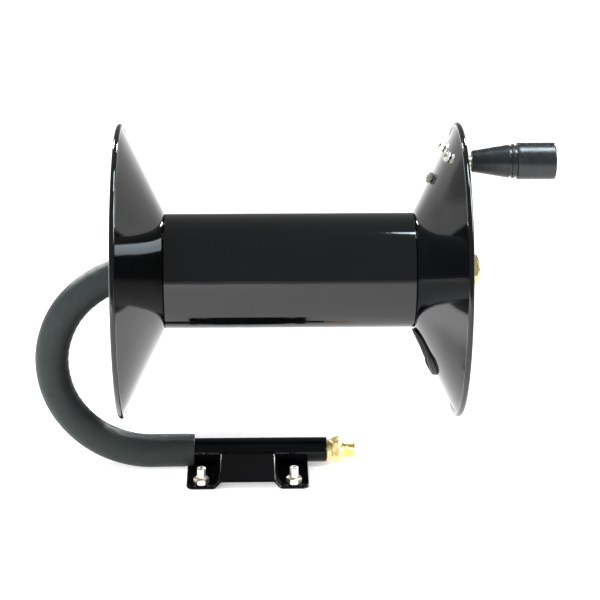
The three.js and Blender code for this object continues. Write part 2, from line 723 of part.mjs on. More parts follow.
// Round-headed screw with its head on the bracket's foot, and its nut on the drum's side.
function bracketScrew(number) {
  const headStart = SHEET + GAP / Math.cos(CONE_ANGLE) + BRACKET.sheet + GAP;
  const shankRadius = 2.9;
  const nutEnd = -GAP;
  const shankEnd = nutEnd - M6_NUT.height - 1;
  const screw = turned([
    [shankEnd, 0],
    [shankEnd, shankRadius - 0.6],
    [shankEnd + 0.6, shankRadius],
    [headStart, shankRadius],
    [headStart, 4.6],
    [headStart + 1.4, 4.3],
    [headStart + 2.6, 2.6],
    [headStart + 3, 0],
  ], 16);
  const nut = hexNut(nutEnd - M6_NUT.height, M6_NUT, shankRadius + GAP + 0.05);
  return [
    meshOf(`bracket_screw_${number}`, screw, 'zinc'),
    meshOf(`bracket_nut_${number}`, nut, 'zinc'),
  ];
}

function spindleParts() {
  const { faceX, sheet } = BRACKET;
  const nutEnd = faceX - sheet - GAP;
  const headStart = GRIP.endX - 15;
  const spindle = turned([
    [nutEnd - SPINDLE_NUT.height - 2, 0],
    [nutEnd - SPINDLE_NUT.height - 2, SPINDLE_RADIUS],
    [headStart, SPINDLE_RADIUS],
    [headStart, 7],
    [headStart + 5, 7],
    [headStart + 5, 0],
  ], 16);
  const spacer = tube(faceX + GAP, GRIP.startX - GAP, SPINDLE_RADIUS + GAP + 0.05, 5.6, 16);
  const nut = hexNut(
    nutEnd - SPINDLE_NUT.height, SPINDLE_NUT, SPINDLE_RADIUS + GAP + 0.05);
  return [
    meshOf('grip_spindle', spindle, 'zinc'),
    meshOf('spindle_spacer', spacer, 'zinc'),
    meshOf('spindle_lock_nut', nut, 'zinc'),
  ];
}

function grip() {
  const { startX, endX, smallRadius, taperRadius, largeRadius } = GRIP;
  const boreRadius = SPINDLE_RADIUS + GAP + 0.05;
  const counterboreX = endX - 15 - GAP;
  const capSeatX = endX - 4.5;
  const capSeatRadius = 15;
  const firstGroove = startX + 38.2;
  const secondGroove = startX + 43.8;
  const grooveWidth = 2.4;
  const handle = turned([
    [startX, boreRadius],
    [startX, smallRadius - 0.7],
    [startX + 0.7, smallRadius],
    [startX + 35.5, taperRadius],
    [firstGroove - 0.3, taperRadius + 0.6],
    [firstGroove, taperRadius - 0.6],
    [firstGroove + grooveWidth, taperRadius - 0.6],
    [firstGroove + grooveWidth + 0.3, taperRadius + 0.8],
    [secondGroove - 0.3, taperRadius + 1.1],
    [secondGroove, taperRadius - 0.3],
    [secondGroove + grooveWidth, taperRadius - 0.3],
    [secondGroove + grooveWidth + 0.3, largeRadius - 0.3],
    [secondGroove + 4, largeRadius],
    [endX - 3, largeRadius],
    [endX - 1.2, largeRadius - 0.8],
    [endX - 0.4, capSeatRadius + 1],
    [endX - 0.4, capSeatRadius],
    [capSeatX, capSeatRadius],
    [capSeatX, 8],
    [counterboreX, 8],
    [counterboreX, boreRadius],
    [startX, boreRadius],
  ]);
  const cap = turned([
    [capSeatX + GAP, 0],
    [capSeatX + GAP, capSeatRadius - GAP],
    [endX - 0.6, capSeatRadius - GAP],
    [endX, capSeatRadius - 3],
    [endX, 0],
  ]);
  return [meshOf('grip', handle, 'gripPlastic'), meshOf('grip_end_cap', cap, 'gripPlastic')];
}

function crank() {
  const group = spoke(CRANK_ANGLE, handleBracket());
  BRACKET_SCREWS.forEach((screw, i) => {
    group.add(spoke(screw.angle, onCone(screw.radius, ...bracketScrew(i + 1))));
  });
  const onSpindle = new THREE.Group();
  onSpindle.position.z = CRANK_RADIUS;
  onSpindle.add(...spindleParts(), ...grip());
  group.add(onSpindle);
  return group;
}

// ---- assembly ----------------------------------------------------------------------------

// The same pieces at the drum's other end.
function atLeftEnd(...pieces) {
  const group = new THREE.Group();
  group.rotation.z = Math.PI;
  group.add(...pieces);
  return group;
}

function onReelAxis(...pieces) {
  const group = new THREE.Group();
  group.position.z = AXIS_Z;
  group.add(...pieces);
  return group;
}

const hoseReel = new THREE.Group();
hoseReel.position.x = CENTRE_SHIFT_X;
hoseReel.add(
  base(),
  armPipe(),
  foamSleeve(),
  inletFitting(),
  onReelAxis(
    drum(),
    rightFlange(),
    hubBushing('right'),
    atLeftEnd(leftFlange(), hubBushing('left'), axleStop('left')),
    axleStop('right'),
    tieRods(),
    swivelStem(),
    swivel(),
    hoseGrommet(),
    crank()));

export default hoseReel;
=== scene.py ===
"""Looks of a hand-cranked hose reel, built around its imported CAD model.

Shapes are worked out in millimetres. X counts from the middle of the drum, Z from the floor on
the arm and the base, and from the reel's axis on everything that turns.
"""

import math

import bmesh
import bpy
import numpy as np
from mathutils import Matrix, Vector


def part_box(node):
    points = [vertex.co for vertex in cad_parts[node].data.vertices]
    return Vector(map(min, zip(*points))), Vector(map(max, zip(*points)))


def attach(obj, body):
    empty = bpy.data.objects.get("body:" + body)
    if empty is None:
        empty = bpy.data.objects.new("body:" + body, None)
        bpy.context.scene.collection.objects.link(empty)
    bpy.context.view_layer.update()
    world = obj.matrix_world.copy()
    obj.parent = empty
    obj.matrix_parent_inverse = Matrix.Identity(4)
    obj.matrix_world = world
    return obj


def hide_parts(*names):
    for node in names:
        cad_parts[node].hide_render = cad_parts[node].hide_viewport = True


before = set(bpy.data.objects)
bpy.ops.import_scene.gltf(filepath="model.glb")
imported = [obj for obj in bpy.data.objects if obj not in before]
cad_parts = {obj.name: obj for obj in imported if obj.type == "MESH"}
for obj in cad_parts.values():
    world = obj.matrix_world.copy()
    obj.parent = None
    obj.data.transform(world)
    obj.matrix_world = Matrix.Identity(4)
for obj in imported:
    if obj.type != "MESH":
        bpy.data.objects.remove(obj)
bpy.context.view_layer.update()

MM = 0.001
GAP = 0.3


def box_mm(node):
    low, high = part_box(node)
    return np.array(low) / MM, np.array(high) / MM


# ---- places, from the CAD model ------------------------------------------------------------
drum_low, drum_high = box_mm("drum")
SHIFT_X = (drum_low[0] + drum_high[0]) / 2
AXIS_Z = (drum_low[2] + drum_high[2]) / 2
DRUM_RADIUS = (drum_high[2] - drum_low[2]) / 2
DRUM_HALF_LENGTH = (drum_high[0] - drum_low[0]) / 2
plate_low, plate_high = box_mm("base_bracket")
PLATE_CENTRE_X = (plate_low[0] + plate_high[0]) / 2 - SHIFT_X
PLATE_LENGTH = plate_high[0] - plate_low[0]
PLATE_FRONT, PLATE_REAR = -plate_low[1], plate_high[1]
grip_low, grip_high = box_mm("grip")
pipe_low, pipe_high = box_mm("arm_pipe")

# ---- sizes that the CAD source states ------------------------------------------------------
SHEET = 1.2
RIM_BEAD_RADIUS = 3.0
RIM_X = 174.5
RIM_SHEET_RADIUS = 150.8
NECK_X = DRUM_HALF_LENGTH + GAP
WEB_X = DRUM_HALF_LENGTH - 17.0
CONE_SLOPE = (RIM_X - SHEET / 2 - NECK_X) / (RIM_SHEET_RADIUS - DRUM_RADIUS)
CONE_ANGLE = math.atan(CONE_SLOPE)
SHEET_ALONG_X = SHEET / math.cos(CONE_ANGLE)
PIPE_RADIUS = (pipe_high[1] - pipe_low[1]) / 2
PIPE_BORE_RADIUS = 9.4
PLATE_THICKNESS = 3.0
LOWER_LEG_Z = PLATE_THICKNESS + GAP + PIPE_RADIUS
BEND_RADIUS = (AXIS_Z - LOWER_LEG_Z) / 2
BEND_X = -148.0
LOWER_LEG_END_X = 40.3
AXLE_END_X = 150.0
SLEEVE_RADIUS = 17.9
CRANK_RADIUS = 115.0
CRANK_ANGLE = math.radians(-6.6)
SLOT_ANGLE = math.radians(155)
BORE_RADIUS = PIPE_RADIUS + GAP + 0.05

# ---- materials -----------------------------------------------------------------------------
NOISE_RANGE = (0.3, 0.7)


class Nodes:
    """A material's node tree, with its Principled shader."""

    def __init__(self, name):
        self.material = bpy.data.materials.new(name)
        self.material.use_nodes = True
        self.tree = self.material.node_tree
        self.shader = self.tree.nodes["Principled BSDF"]
        self.place = self.add("ShaderNodeTexCoord").outputs["Object"]

    def add(self, kind, **values):
        node = self.tree.nodes.new(kind)
        for key, value in values.items():
            setattr(node, key, value)
        return node

    def link(self, source, target):
        self.tree.links.new(source, target)

    def set(self, **values):
        for key, value in values.items():
            self.shader.inputs[key.replace("_", " ")].default_value = value

    def stretched(self, scale):
        mapping = self.add("ShaderNodeMapping")
        mapping.inputs["Scale"].default_value = scale
        self.link(self.place, mapping.inputs["Vector"])
        return mapping.outputs["Vector"]

    def noise(self, scale, detail=2.0, roughness=0.5, vector=None):
        node = self.add("ShaderNodeTexNoise")
        node.inputs["Scale"].default_value = scale
        node.inputs["Detail"].default_value = detail
        node.inputs["Roughness"].default_value = roughness
        self.link(vector or self.place, node.inputs["Vector"])
        return node.outputs["Fac"]

    def cells(self, scale):
        node = self.add("ShaderNodeTexVoronoi", feature="F1")
        node.inputs["Scale"].default_value = scale
        self.link(self.place, node.inputs["Vector"])
        return node.outputs["Distance"]

    def spread(self, value, low, high):
        """Stretches the usual range of a noise to the one between low and high."""
        node = self.add("ShaderNodeMapRange")
        for key, number in zip(("From Min", "From Max"), NOISE_RANGE):
            node.inputs[key].default_value = number
        for key, number in zip(("To Min", "To Max"), (low, high)):
            node.inputs[key].default_value = number
        self.link(value, node.inputs["Value"])
        return node.outputs["Result"]

    def colours(self, value, *stops):
        node = self.add("ShaderNodeValToRGB")
        ramp = node.color_ramp
        while len(ramp.elements) < len(stops):
            ramp.elements.new(0.5)
        for element, (position, colour) in zip(ramp.elements, stops):
            element.position = position
            element.color = (*colour, 1)
        self.link(value, node.inputs["Fac"])
        return node.outputs["Color"]

    def bump(self, *layers):
        """Each layer is (height, distance in metres)."""
        normal = None
        for height, distance in layers:
            node = self.add("ShaderNodeBump")
            node.inputs["Distance"].default_value = distance
            self.link(height, node.inputs["Height"])
            if normal is not None:
                self.link(normal, node.inputs["Normal"])
            normal = node.outputs["Normal"]
        self.link(normal, self.shader.inputs["Normal"])


def enamel(name="black_enamel", index=1.5):
    n = Nodes(name)
    patches = n.noise(9, 3)
    n.link(n.colours(patches, (0.35, (0.0009, 0.0011, 0.0013)), (0.7, (0.0018, 0.0022, 0.0026))),
           n.shader.inputs["Base Color"])
    n.link(n.spread(n.noise(45, 4), 0.035, 0.08), n.shader.inputs["Roughness"])
    n.set(IOR=index)
    n.bump((n.noise(17, 1), 0.00035), (n.noise(900, 2), 0.000012))
    return n.material


def foam():
    n = Nodes("foam_rubber")
    mottle = n.noise(160, 5, 0.65)
    n.link(n.colours(mottle, (0.3, (0.012, 0.015, 0.0145)), (0.72, (0.016, 0.020, 0.0193))),
           n.shader.inputs["Base Color"])
    n.link(n.spread(n.noise(60, 3), 0.38, 0.47), n.shader.inputs["Roughness"])
    n.set(IOR=1.26)
    n.bump((n.cells(1500), 0.00018), (n.noise(320, 4), 0.00012))
    return n.material


def brass():
    n = Nodes("brass")
    tarnish = n.noise(110, 4, 0.6)
    n.link(n.colours(tarnish, (0.3, (0.93, 0.72, 0.31)), (0.75, (0.98, 0.85, 0.48))),
           n.shader.inputs["Base Color"])
    n.link(n.spread(n.noise(300, 4, 0.6), 0.26, 0.4), n.shader.inputs["Roughness"])
    n.set(Metallic=1.0)
    n.bump((n.noise(1, 4, 0.7, n.stretched((4200, 500, 500))), 0.00001),
           (n.noise(260, 2), 0.00004))
    return n.material


def zinc():
    n = Nodes("zinc_plate")
    spangle = n.noise(240, 4, 0.6)
    n.link(n.colours(spangle, (0.3, (0.72, 0.68, 0.60)), (0.72, (0.88, 0.85, 0.79))),
           n.shader.inputs["Base Color"])
    n.link(n.spread(n.noise(420, 4, 0.6), 0.24, 0.38), n.shader.inputs["Roughness"])
    n.set(Metallic=1.0)
    n.bump((n.noise(900, 3), 0.00002))
    return n.material


def rubber():
    n = Nodes("moulded_rubber")
    n.link(n.colours(n.noise(120, 4), (0.3, (0.007, 0.008, 0.009)), (0.7, (0.013, 0.014, 0.015))),
           n.shader.inputs["Base Color"])
    n.link(n.spread(n.noise(200, 3), 0.42, 0.6), n.shader.inputs["Roughness"])
    n.bump((n.noise(1400, 3), 0.00004))
    return n.material


def grip_plastic():
    n = Nodes("grip_plastic")
    n.link(n.colours(n.noise(70, 4), (0.3, (0.008, 0.010, 0.012)), (0.7, (0.013, 0.016, 0.018))),
           n.shader.inputs["Base Color"])
    n.link(n.spread(n.noise(140, 4), 0.24, 0.33), n.shader.inputs["Roughness"])
    n.bump((n.cells(1700), 0.00002), (n.noise(500, 3), 0.00001))
    return n.material


def nylon():
    n = Nodes("nylon")
    n.link(n.colours(n.noise(90, 4), (0.3, (0.62, 0.59, 0.52)), (0.7, (0.72, 0.70, 0.64))),
           n.shader.inputs["Base Color"])
    n.link(n.spread(n.noise(150, 3), 0.4, 0.55), n.shader.inputs["Roughness"])
    n.set(Subsurface_Weight=0.15, Subsurface_Scale=0.002)
    n.bump((n.noise(700, 3), 0.00002))
    return n.material


# The second enamel is the same coat with weaker reflections, as painted shade on the arm and base.
MATERIALS = {
    "enamel": enamel(), "shaded_arm_enamel": enamel("shaded_arm_enamel", 1.25), "foam": foam(),
    "brass": brass(), "zinc": zinc(), "rubber": rubber(),
    "grip_plastic": grip_plastic(), "nylon": nylon(),
}

# ---- mesh helpers --------------------------------------------------------------------------


def unit(vector):
    return vector / np.linalg.norm(vector)


def rounded(corners, steps=4, loop=True):
    """A profile with its corners rounded. A corner is (x, radius) or (x, radius, fillet).
    A short support edge follows each arc, so that the flats beside it stay flat in shading."""
    profile = []
    count = len(corners)
    for i, corner in enumerate(corners):
        point = np.array(corner[:2], float)
        if len(corner) < 3 or (not loop and i in (0, count - 1)):
            profile.append(point)
            continue
        back = np.array(corners[i - 1][:2], float) - point
        ahead = np.array(corners[(i + 1) % count][:2], float) - point
        half = math.acos(np.clip(unit(back) @ unit(ahead), -1, 1)) / 2
        cut = min(corner[2] / math.tan(half), 0.48 * np.linalg.norm(back),
                  0.48 * np.linalg.norm(ahead))
        radius = cut * math.tan(half)
        middle = point + unit(unit(back) + unit(ahead)) * radius / math.sin(half)
        start, end = point + unit(back) * cut, point + unit(ahead) * cut
        support = min(0.25 * radius, 0.02 * np.linalg.norm(back), 0.02 * np.linalg.norm(ahead))
        first = math.atan2(*(start - middle)[::-1])
        turn = (math.atan2(*(end - middle)[::-1]) - first + math.pi) % (2 * math.pi) - math.pi
        profile.append(start + unit(back) * support)
        for k in range(steps + 1):
            angle = first + turn * k / steps
            profile.append(middle + radius * np.array((math.cos(angle), math.sin(angle))))
        profile.append(end + unit(ahead) * support)
    return profile


def finely(profile, step, loop=True, within=(-1e9, 1e9), above=-1.0):
    """The same profile with no edge longer than step, where it lies within two places and
    above a radius."""
    fine = []
    ends = profile[1:] + profile[:1] if loop else profile[1:]
    for start, end in zip(profile, ends):
        start, end = np.array(start, float), np.array(end, float)
        inside = within[0] <= min(start[0], end[0]) and max(start[0], end[0]) <= within[1]
        shown = inside and min(start[1], end[1]) > above
        parts = max(1, math.ceil(np.linalg.norm(end - start) / step)) if shown else 1
        fine += [start + (end - start) * k / parts for k in range(parts)]
    return fine if loop else fine + [np.array(profile[-1], float)]


def along_x(s):
    return np.array((s, 0, 0)), np.array((0, 0, 1.0)), np.array((0, -1.0, 0))


def along_arm(s):
    """The arm's centreline. It is 0 where the bend starts, and counts up round the bend."""
    bend_length = math.pi * BEND_RADIUS
    turn = min(max(s / BEND_RADIUS, 0), math.pi)
    x = BEND_X - BEND_RADIUS * math.sin(turn) - min(s, 0) + max(s - bend_length, 0)
    z = LOWER_LEG_Z + BEND_RADIUS * (1 - math.cos(turn))
    outwards = np.array((-math.sin(turn), 0, -math.cos(turn)))
    return np.array((x, 0, z)), outwards, np.array((0, -1.0, 0))


def on_lower_leg(x):
    return BEND_X - x


def on_upper_leg(x):
    return math.pi * BEND_RADIUS + x - BEND_X


def facing_out(verts, faces):
    """The same faces, turned over if they enclose a negative volume."""
    volume = 0.0
    for size in {len(face) for face in faces}:
        corners = verts[np.array([face for face in faces if len(face) == size])]
        for k in range(1, size - 1):
            volume += np.sum(corners[:, 0] * np.cross(corners[:, k], corners[:, k + 1]))
    return (verts, [f[::-1] for f in faces]) if volume < 0 else (verts, faces)


def turned(profile, segments=96, path=along_x, shape=None):
    """Rings along a path. A profile either starts and ends at radius 0, or is a loop.
    shape(s, angles, radius) may change a ring's radius with the angle from +Z towards -Y."""
    angles = np.arange(segments) * 2 * math.pi / segments
    verts, rings = [], []
    for s, radius in profile:
        origin, up, side = path(s)
        if abs(radius) < 1e-9:
            rings.append([len(verts)])
            verts.append(origin)
            continue
        radii = shape(s, angles, radius) if shape else np.full(segments, radius)
        rings.append(list(range(len(verts), len(verts) + segments)))
        verts.extend(origin + radii[:, None] * (
            np.cos(angles)[:, None] * up + np.sin(angles)[:, None] * side))
    faces = []
    loop = len(rings[0]) > 1
    for low, high in zip(rings, rings[1:] + (rings[:1] if loop else [])):
        if len(low) == len(high) == 1:
            continue
        wide_low, wide_high = (np.resize(ring, segments) for ring in (low, high))
        corners = [wide_low, np.roll(wide_low, -1), np.roll(wide_high, -1), wide_high]
        if len(low) == 1:
            corners = corners[1:]
        elif len(high) == 1:
            corners = corners[:3]
        faces += np.stack(corners, axis=1).tolist()
    return facing_out(np.array(verts, float), faces)


def hex_shape(across_flats, start, end, chamfer=0.9, from_radius=0.0):
    """Turns rings wider than from_radius into a hexagon with a corner at angle 0."""

    def shape(s, angles, radius):
        if radius <= from_radius:
            return np.full(len(angles), radius)
        wedge = (angles + math.pi / 6) % (math.pi / 3) - math.pi / 6
        flats = across_flats / 2 / np.cos(math.pi / 6 - np.abs(wedge))
        from_end = min(s - start, end - s)
        corner = across_flats / math.sqrt(3)
        cone = corner - (corner - across_flats / 2 * 0.985) * max(0, 1 - from_end / chamfer)
        return np.minimum(flats, cone)

    return shape


def thread_shape(pitch, depth, start, end, from_radius=0.0, inside=None):
    """A screw thread cut into rings wider than from_radius, between two places."""

    def shape(s, angles, radius):
        radii = inside(s, angles, radius) if inside else np.full(len(angles), radius)
        if radius < from_radius or not start <= s <= end:
            return radii
        fade = min(1, (s - start) / pitch, (end - s) / pitch)
        turn = (s / pitch + angles / (2 * math.pi)) % 1
        groove = np.clip(1.35 * (1 - np.abs(2 * turn - 1)) - 0.15, 0, 1)
        return radii - depth * fade * (1 - groove)

    return shape


def prism(outline, start, end):
    """An outline of (y, z) points, extruded along X."""
    count = len(outline)
    verts = [(x, y, z) for x in (start, end) for y, z in outline]
    faces = [list(range(count)), list(range(count, 2 * count))[::-1]]
    faces += [[i, i + count, (i + 1) % count + count, (i + 1) % count] for i in range(count)]
    return facing_out(np.array(verts, float), faces)


def moved(shape, matrix):
    verts, faces = shape
    turn = np.array(matrix.to_3x3())
    return verts @ turn.T + np.array(matrix.translation), faces


def joined(*shapes):
    verts, faces, base = [], [], 0
    for points, polygons in shapes:
        verts.append(points)
        faces += [[i + base for i in polygon] for polygon in polygons]
        base += len(points)
    return np.concatenate(verts), faces


def spoke(angle):
    """Turns +Z by an angle towards -Y."""
    return Matrix.Rotation(angle, 4, "X")


def upright(x, y):
    """Stands a shape made along +X on its end."""
    return Matrix.Translation((x, y, 0)) @ Matrix.Rotation(-math.pi / 2, 4, "Y")


def mesh_object(name, shape):
    verts, faces = shape
    mesh = bpy.data.meshes.new(name)
    mesh.from_pydata((verts * MM).tolist(), [], faces)
    obj = bpy.data.objects.new(name, mesh)
    bpy.context.scene.collection.objects.link(obj)
    return obj


def carve(obj, cutter_shape, operation="DIFFERENCE"):
    cutter = mesh_object("cutter", cutter_shape)
    modifier = obj.modifiers.new("cut", "BOOLEAN")
    modifier.operation = operation
    modifier.solver = "EXACT"
    modifier.object = cutter
    depsgraph = bpy.context.evaluated_depsgraph_get()
    result = bpy.data.meshes.new_from_object(obj.evaluated_get(depsgraph))
    obj.modifiers.clear()
    old, obj.data = obj.data, result
    bpy.data.meshes.remove(old)
    bpy.data.objects.remove(cutter)


ARM = Matrix.Translation((SHIFT_X, 0, 0))
REEL = Matrix.Translation((SHIFT_X, 0, AXIS_Z))
BASE = Matrix.Translation((SHIFT_X + PLATE_CENTRE_X, 0, 0))
LEFT_END = Matrix.Rotation(math.pi, 4, "Z")
CRANK = REEL @ spoke(CRANK_ANGLE)
SPINDLE = CRANK @ Matrix.Translation((0, 0, CRANK_RADIUS))
SLOT = REEL @ spoke(SLOT_ANGLE)


def finish_piece(obj, place, body, slot, nodes, sharp=32):
    in_metres = place.copy()
    in_metres.translation = place.translation * MM
    mesh = obj.data
    mesh.transform(in_metres)
    cleaned = bmesh.new()
    cleaned.from_mesh(mesh)
    bmesh.ops.remove_doubles(cleaned, verts=cleaned.verts, dist=1e-7)
    bmesh.ops.dissolve_degenerate(cleaned, edges=cleaned.edges, dist=1e-8)
    cleaned.to_mesh(mesh)
    cleaned.free()
    mesh.materials.clear()
    # The arm and base take a copy of the reel's enamel that reflects less, which paints shade on
    # them; the coat is the same.
    look = "shaded_arm_enamel" if (body, slot) == ("mount", "enamel") else slot
    mesh.materials.append(MATERIALS[look])
    mesh.shade_smooth()
    mesh.set_sharp_from_angle(angle=math.radians(sharp))
    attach(obj, body)
    if nodes:
        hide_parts(*nodes)
    return obj


def piece(name, shape, place, body, slot, *nodes, sharp=32):
    return finish_piece(mesh_object(name, shape), place, body, slot, nodes, sharp)


def cone_x(radius):
    """X of the right flange's cone on the drum's side."""
    return NECK_X + (radius - DRUM_RADIUS) * CONE_SLOPE


def on_cone(radius):
    """Square to the right flange's sheet, with X 0 on the drum's side of it."""
    return Matrix.Translation((cone_x(radius), 0, radius)) @ Matrix.Rotation(CONE_ANGLE, 4, "Y")


# ---- arm -----------------------------------------------------------------------------------


def arm_pipe():
    low, high = on_lower_leg(LOWER_LEG_END_X), on_upper_leg(AXLE_END_X)
    profile = rounded([
        (low, PIPE_BORE_RADIUS, 0.5), (low, PIPE_RADIUS, 0.9),
        (high, PIPE_RADIUS, 0.9), (high, PIPE_BORE_RADIUS, 0.5),
    ])
    shape = turned(finely(profile, 3.2), 112, along_arm)
    piece("arm_tube", shape, ARM, "mount", "enamel", "arm_pipe")


def foam_sleeve():
    low, high = on_lower_leg(-102.0), on_upper_leg(-131.0)
    inner = PIPE_RADIUS + GAP
    profile = rounded([
        (low, inner, 0.3), (low, SLEEVE_RADIUS, 1.0),
        (high, SLEEVE_RADIUS, 1.0), (high, inner, 0.3),
    ])
    verts, faces = turned(finely(profile, 1.6), 144, along_arm, uneven_foam)
    # Pressed flat by the floor, and a little higher by the edge of the plate.
    plate_edge = PLATE_CENTRE_X - PLATE_LENGTH / 2
    part = np.clip((verts[:, 0] - (plate_edge - 4.0)) / 3.4, 0, 1)
    rest_z = GAP + PLATE_THICKNESS * part * part * (3 - 2 * part)
    verts[:, 2] = np.maximum(verts[:, 2], rest_z)
    sleeve = piece("sleeve_foam", (verts, faces), ARM, "mount", "foam", "foam_sleeve", sharp=55)


def uneven_foam(s, angles, radius):
    """Foam is never quite round: a slow wobble along it, and faint creases inside the bend."""
    depth = 0.0 if radius < SLEEVE_RADIUS - 1.2 else 1.0
    slow = 0.10 * np.sin(0.041 * s + 2 * angles) + 0.07 * np.sin(0.113 * s - angles + 1.3)
    in_bend = math.exp(-((s / BEND_RADIUS - 1.57) / 1.1) ** 2)
    crease = in_bend * np.clip(-np.cos(angles), 0, 1) ** 3 * 0.16 * math.sin(0.55 * s)
    return radius + depth * (slow + crease - 0.18)


def inlet_fitting():
    hex_start, hex_end, end = 45.7, 54.4, 70.6
    neck_start = LOWER_LEG_END_X + GAP
    thread_radius = 8.5
    profile = rounded([
        (25.0, 5.5), (25.0, PIPE_BORE_RADIUS - GAP, 0.4), (neck_start, PIPE_BORE_RADIUS - GAP),
        (neck_start, 10.4, 0.5), (hex_start - 1.2, 11.0, 0.3), (hex_start, 11.2),
        (hex_start, 14.0), (hex_end, 14.0), (hex_end, 10.9, 0.2), (hex_end + 0.8, 10.4, 0.4),
        (hex_end + 2.6, thread_radius, 0.5), (end, thread_radius, 1.1), (end, 5.5, 0.6),
    ])
    outline = hex_shape(23.8, hex_start, hex_end, 1.1, 11.3)
    shape = thread_shape(1.411, 0.62, hex_end + 3.4, end + 1.0, 7.4, outline)
    body = turned(finely(profile, 0.2, within=(hex_start - 2, end), above=6.0), 144, along_x, shape)
    place = ARM @ Matrix.Translation((0, 0, LOWER_LEG_Z)) @ spoke(math.radians(-21.6))
    piece("inlet_brass", body, place, "mount", "brass", "inlet_fitting", sharp=35)


# ---- base ----------------------------------------------------------------------------------
PLATE_CORNER = 7.0
SADDLE = {"half_length": 27.0, "ramp": 10.0, "raise": 7.5, "crest": 3.0}


def arc(centre, radius, start, end, step=0.5):
    count = max(3, math.ceil(abs(end - start) * radius / step))
    angles = np.linspace(start, end, count)
    return [(centre[0] + radius * math.cos(a), centre[1] + radius * math.sin(a)) for a in angles]


def saddle_section(half_width):
    """Half of the saddle along the middle of its sheet, as (y, z) points from under the pipe."""
    hug = PIPE_RADIUS + GAP + PLATE_THICKNESS / 2
    hug_end = math.radians(-2)
    crest_y = (hug + SADDLE["crest"]) * math.cos(hug_end)
    crest_z = LOWER_LEG_Z + (hug + SADDLE["crest"]) * math.sin(hug_end)
    edge_z = PLATE_THICKNESS / 2 + SADDLE["raise"]
    across, drop = half_width - crest_y, crest_z - edge_z
    slope = math.atan2(drop, across) + math.asin(SADDLE["crest"] / math.hypot(across, drop))
    points = arc((0, LOWER_LEG_Z), hug, -math.pi / 2, hug_end)
    points += arc((crest_y, crest_z), SADDLE["crest"], math.pi + hug_end, math.pi / 2 - slope)
    points.append((half_width, edge_z))
    return np.array(points)


def by_length(points, reach):
    """Points at parts of a line's length."""
    steps = np.linalg.norm(np.diff(points, axis=0), axis=1)
    run = np.concatenate(([0], np.cumsum(steps)))
    wanted = reach * run[-1]
    return np.stack([np.interp(wanted, run, points[:, k]) for k in (0, 1)], axis=-1)


def toward_edge(half, step):
    """Places from the middle to an edge, closing up where the edge is round."""
    edge = PLATE_THICKNESS / 2
    inner = np.linspace(0, half - edge, max(2, round((half - edge) / step)))
    turn = np.linspace(0, math.pi / 2, 8)[1:]
    return np.concatenate((inner, half - edge * (1 - np.sin(turn))))


def base_plate():
    half_x, corner = PLATE_LENGTH / 2, PLATE_CORNER
    columns = toward_edge(half_x, 0.8)
    columns = np.concatenate((-columns[:0:-1], columns))
    rows = np.concatenate(
        (-toward_edge(PLATE_FRONT, 0.45)[:0:-1], toward_edge(PLATE_REAR, 0.45)))
    x, flat_y = np.meshgrid(columns, rows, indexing="ij")
    half_y = np.where(flat_y < 0, PLATE_FRONT, PLATE_REAR)
    near_corner = np.clip(np.abs(flat_y) - (half_y - corner), 0, corner)
    widest = half_x - corner + np.sqrt(np.maximum(corner ** 2 - near_corner ** 2, 0))
    kept_x = half_x - corner - 8
    share = (widest - kept_x) / (half_x - kept_x)
    outer = kept_x + (np.abs(x) - kept_x) * share
    x = np.sign(x) * np.where(np.abs(x) > kept_x, outer, np.abs(x))
    part = np.clip((np.abs(x) - SADDLE["half_length"]) / SADDLE["ramp"], 0, 1)
    blend = 1 - part * part * (3 - 2 * part)
    reach = np.abs(flat_y) / half_y
    raised = np.where((flat_y < 0)[..., None], by_length(saddle_section(PLATE_FRONT), reach),
                      by_length(saddle_section(PLATE_REAR), reach))
    y = flat_y + (np.sign(flat_y) * raised[..., 0] - flat_y) * blend
    z = PLATE_THICKNESS / 2 + (raised[..., 1] - PLATE_THICKNESS / 2) * blend
    middle = np.stack((x, y, z), axis=-1)
    normal = np.cross(np.gradient(middle, axis=0), np.gradient(middle, axis=1))
    normal /= np.linalg.norm(normal, axis=-1, keepdims=True)
    beyond_x, beyond_y = np.abs(x) - (half_x - corner), np.abs(flat_y) - (half_y - corner)
    outside = np.hypot(np.maximum(beyond_x, 0), np.maximum(beyond_y, 0)) + np.minimum(
        np.maximum(beyond_x, beyond_y), 0) - corner
    edge = PLATE_THICKNESS / 2
    inset = np.clip(-outside, 0, edge)
    thick = np.sqrt(np.maximum(edge ** 2 - (edge - inset) ** 2, 0))[..., None]
    rim = np.zeros(x.shape, bool)
    rim[0], rim[-1], rim[:, 0], rim[:, -1] = True, True, True, True
    thick[rim] = 0
    top, bottom = middle + normal * thick, middle - normal * thick
    shape_x, shape_y = x.shape
    index = np.arange(shape_x * shape_y).reshape(shape_x, shape_y)
    under = index + shape_x * shape_y
    under[rim] = index[rim]
    faces = []
    for i in range(shape_x - 1):
        for j in range(shape_y - 1):
            faces.append([index[i, j], index[i + 1, j], index[i + 1, j + 1], index[i, j + 1]])
            faces.append([under[i, j], under[i, j + 1], under[i + 1, j + 1], under[i + 1, j]])
    verts = np.concatenate((top.reshape(-1, 3), bottom.reshape(-1, 3)))
    obj = mesh_object("base_plate", (verts, [[int(i) for i in f] for f in faces]))
    loose = bmesh.new()
    loose.from_mesh(obj.data)
    bmesh.ops.delete(loose, geom=[v for v in loose.verts if not v.link_faces], context="VERTS")
    loose.to_mesh(obj.data)
    loose.free()
    for stud_x, stud_y, _ in STUDS:
        through = turned([(-2, 0), (-2, 5.1), (6, 5.1), (6, 0)], 48)
        recess = turned([(-2, 0), (-2, 6.95), (1.5, 6.95), (1.5, 0)], 48)
        carve(obj, moved(through, upright(stud_x, stud_y)))
        carve(obj, moved(recess, upright(stud_x, stud_y)))
    finish_piece(obj, BASE, "mount", "enamel", ["base_bracket"], sharp=40)


